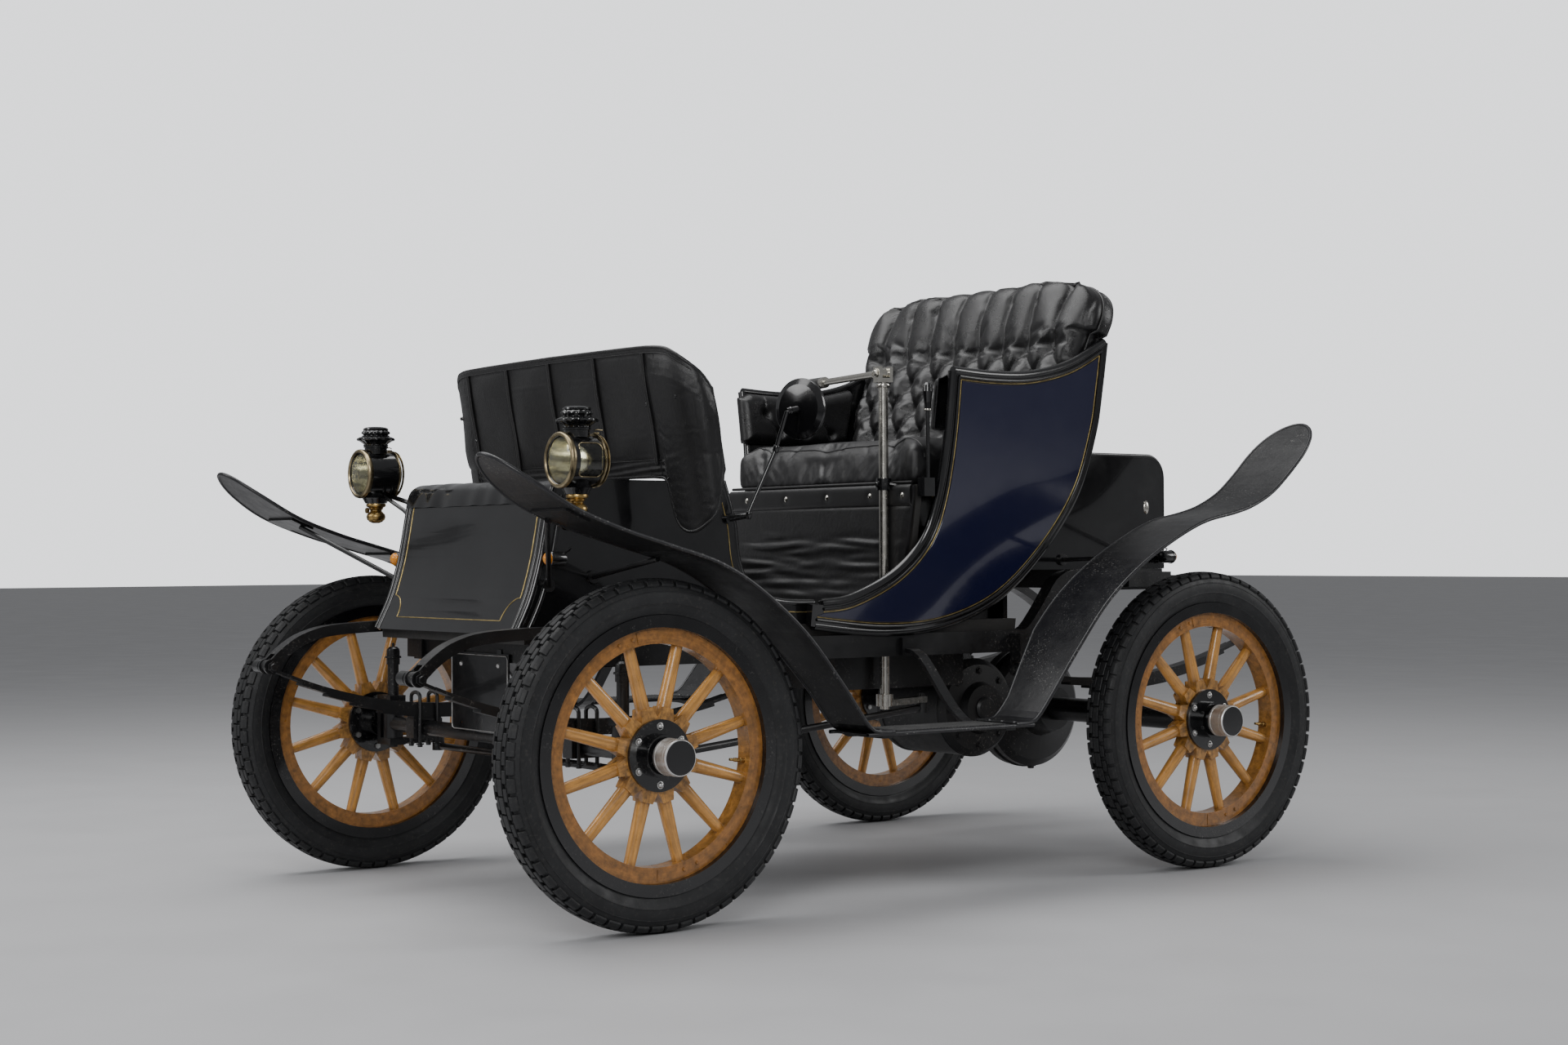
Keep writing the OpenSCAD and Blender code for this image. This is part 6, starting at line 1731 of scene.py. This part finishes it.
class RUNABOUT_OT_running_gear(bpy.types.Operator):
    """Makes the springs' clips and bolts, the kingpins' caps, the motor's bands and bolts and the step's bolts"""

    bl_idname = "runabout.running_gear"
    bl_label = "Running gear fittings"

    def execute(self, context):
        made = []
        for end, (a, b) in SPRINGS.items():
            y0 = AXLE_Y[end]
            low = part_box(f"{end}_springs")[0]
            # two U bolts round each spring and its seat
            for dy in (-0.024, 0.024):
                top = low.z + 0.062
                base = AXLE_Z - 0.04
                half = 0.0235
                points = [(SPRING_X - half, y0 + dy, base), (SPRING_X - half, y0 + dy, top - 0.008)]
                points += [(SPRING_X + half * math.cos(t), y0 + dy, top - 0.008 + 0.012 * math.sin(t)) for t in
                    (math.pi * (1 - k / 8) for k in range(1, 8))]
                points += [(SPRING_X + half, y0 + dy, top - 0.008), (SPRING_X + half, y0 + dy, base)]
                made.append(strung([Vector(p) for p in points], 0.0048, sides=2))
                for s in (-1, 1):
                    made.append(bolt((SPRING_X + s * half, y0 + dy, base + 0.001), (0, 0, -1), 0.0085, 0.008))
            # shackle bolts through the eyes
            for y, z in (a, b):
                for s in (-1, 1):
                    made.append(bolt((SPRING_X + s * 0.0305, y, z), (s, 0, 0), 0.0105, 0.007))
        for y in (AXLE_Y["front"] - 0.013, AXLE_Y["front"] + 0.12):
            made.append(bolt((SPRING_X + 0.0135, y, 0.6), (1, 0, 0), 0.009, 0.006))
        for y in (-0.292, 0.082):
            for x in (0.655, 0.735):
                made.append(bolt((x, y, STEP_Z - 0.0042), (0, 0, -1), 0.0075, 0.005))
        pair("chassis_bolts", made, "chassis_paint", angle=35)

        pin_top = (KINGPIN_X, AXLE_Y["front"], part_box("knuckle_left")[1].z)
        cap = turned(mm((0, 30), (10, 29), (15.5, 24), (17, 17), (17, 6), (20.5, 5.5), (21, 0.6), (0, 0.6)), pin_top,
            (0, 0, 1), 32)
        nipple = turned(mm((0, 40), (3, 39), (4, 35), (2.8, 31), (5, 30), (5, 28.5), (0, 28.5)), pin_top, (0, 0, 1),
            16)
        pair("kingpin_cap", [cap, nipple], "chassis_paint", angle=35, body="steering_knuckle_{}")

        motor = []
        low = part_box("drive_motor")[0]
        centre = Vector((0, low.y + 0.13, AXLE_Z + 0.016))
        for s in (-1, 1):
            first = bolt(centre + Vector((s * 0.1475, 0, 0.1)), (s, 0, 0), 0.0085, 0.006)
            motor.append(ringed(first, 8, centre, (1, 0, 0)))
            motor.append(turned(mm((130.5, 0), (132.5, 2), (132.5, 14), (130.5, 16)),
                centre + Vector((s * 0.118 - 0.008, 0, 0)), (1, 0, 0), 64))
            motor.append(turned(mm((0, 10), (26, 9), (32, 3), (32, -2), (0, -2)), centre + Vector((s * 0.172, 0, 0)),
                (s, 0, 0), 28))
        drum = Vector((0, AXLE_Y["rear"], AXLE_Z))
        for s in (-1, 1):
            first = bolt(drum + Vector((s * 0.0625, 0, 0.07)), (s, 0, 0), 0.0075, 0.006)
            motor.append(ringed(first, 8, drum, (1, 0, 0)))
        drum_r = AXLE_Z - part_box("rear_axle")[0].z
        motor.append(turned([(drum_r + 0.0004, 0), (drum_r + 0.004, 0.001), (drum_r + 0.004, 0.007),
            (drum_r + 0.0004, 0.008)], drum + Vector((-0.004, 0, 0)), (1, 0, 0), 64))
        motor.append(bolt(drum + Vector((0.018, 0, -drum_r)), (0, 0, -1), 0.011, 0.008))
        motor.append(strung([centre + Vector((0.05, -0.08, 0.11)), Vector((0.07, low.y + 0.02, AXLE_Z + 0.17)),
            Vector((0.08, low.y - 0.03, AXLE_Z + 0.185))], 0.006, sides=2))
        motor.append(strung([centre + Vector((0.08, -0.08, 0.108)), Vector((0.1, low.y + 0.02, AXLE_Z + 0.165)),
            Vector((0.11, low.y - 0.03, AXLE_Z + 0.185))], 0.006, sides=2))
        done("motor_fittings", motor, "motor_iron", angle=35)
        return {"FINISHED"}


class RUNABOUT_OT_floor_mat(bpy.types.Operator):
    """Makes the ribbed mat on the footwell's floor"""

    bl_idname = "runabout.floor_mat"
    bl_label = "Floor mat"

    def execute(self, context):
        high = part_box("body_floor")[1]
        front, back, half = -0.4, 0.06, 0.33

        def place(u, v):
            x = (2 * v - 1) * half
            y = front + (back - front) * u
            rib = 0.0016 * max(0.0, math.sin(math.tau * v * 33)) ** 0.5
            edge = min(u, 1 - u, v, 1 - v)
            return Vector((x, y, high.z + 0.0008 + (0.0022 + rib if edge > 0.012 else 0.003)))

        mat = grid_piece(397, 9, place)
        walled(mat, 0.0016, -1, 1e-6)
        done("floor_mat", mat, "grip_rubber", angle=60)
        return {"FINISHED"}


OPERATORS = (RUNABOUT_OT_stage, RUNABOUT_OT_tyres, RUNABOUT_OT_wheel_fittings, RUNABOUT_OT_trim,
    RUNABOUT_OT_fender_edges, RUNABOUT_OT_seat_back, RUNABOUT_OT_seat_cushion, RUNABOUT_OT_side_pads,
    RUNABOUT_OT_dash, RUNABOUT_OT_lamps, RUNABOUT_OT_indicators, RUNABOUT_OT_controls, RUNABOUT_OT_running_gear,
    RUNABOUT_OT_floor_mat)


class RUNABOUT_PT_panel(bpy.types.Panel):
    """Lists the runabout's sizes and the buttons that build it"""

    bl_idname = "RUNABOUT_PT_panel"
    bl_label = "Runabout"
    bl_space_type = "VIEW_3D"
    bl_region_type = "UI"
    bl_category = "Runabout"

    def draw(self, context):
        for name, made in GROUPS.items():
            box = self.layout.box()
            box.label(text=made.__doc__)
            for key in made.__annotations__:
                box.prop(getattr(context.scene, name), key)
        for operator in OPERATORS:
            self.layout.operator(operator.bl_idname)


CLASSES = (RunaboutColours, RunaboutWheels, RunaboutBody, RunaboutSeat, RunaboutDash, RunaboutFenders,
    RunaboutLamps) + OPERATORS + (RUNABOUT_PT_panel,)
GROUPS = {"runabout_colours": RunaboutColours, "runabout_wheels": RunaboutWheels, "runabout_body": RunaboutBody,
    "runabout_seat": RunaboutSeat, "runabout_dash": RunaboutDash, "runabout_fenders": RunaboutFenders,
    "runabout_lamps": RunaboutLamps}


def register():
    """Makes the classes and the groups of sizes known to Blender."""
    for made in CLASSES:
        bpy.utils.register_class(made)
    for name, made in GROUPS.items():
        setattr(bpy.types.Scene, name, bpy.props.PointerProperty(type=made))


def unregister():
    """Takes the classes and the groups of sizes away again."""
    for name in GROUPS:
        delattr(bpy.types.Scene, name)
    for made in reversed(CLASSES):
        bpy.utils.unregister_class(made)


def main():
    """Coats the frame and builds every piece in order."""
    register()
    coat_frame()
    for operator in OPERATORS:
        family, name = operator.bl_idname.split(".")
        getattr(getattr(bpy.ops, family), name)()


if __name__ == "__main__":
    main()
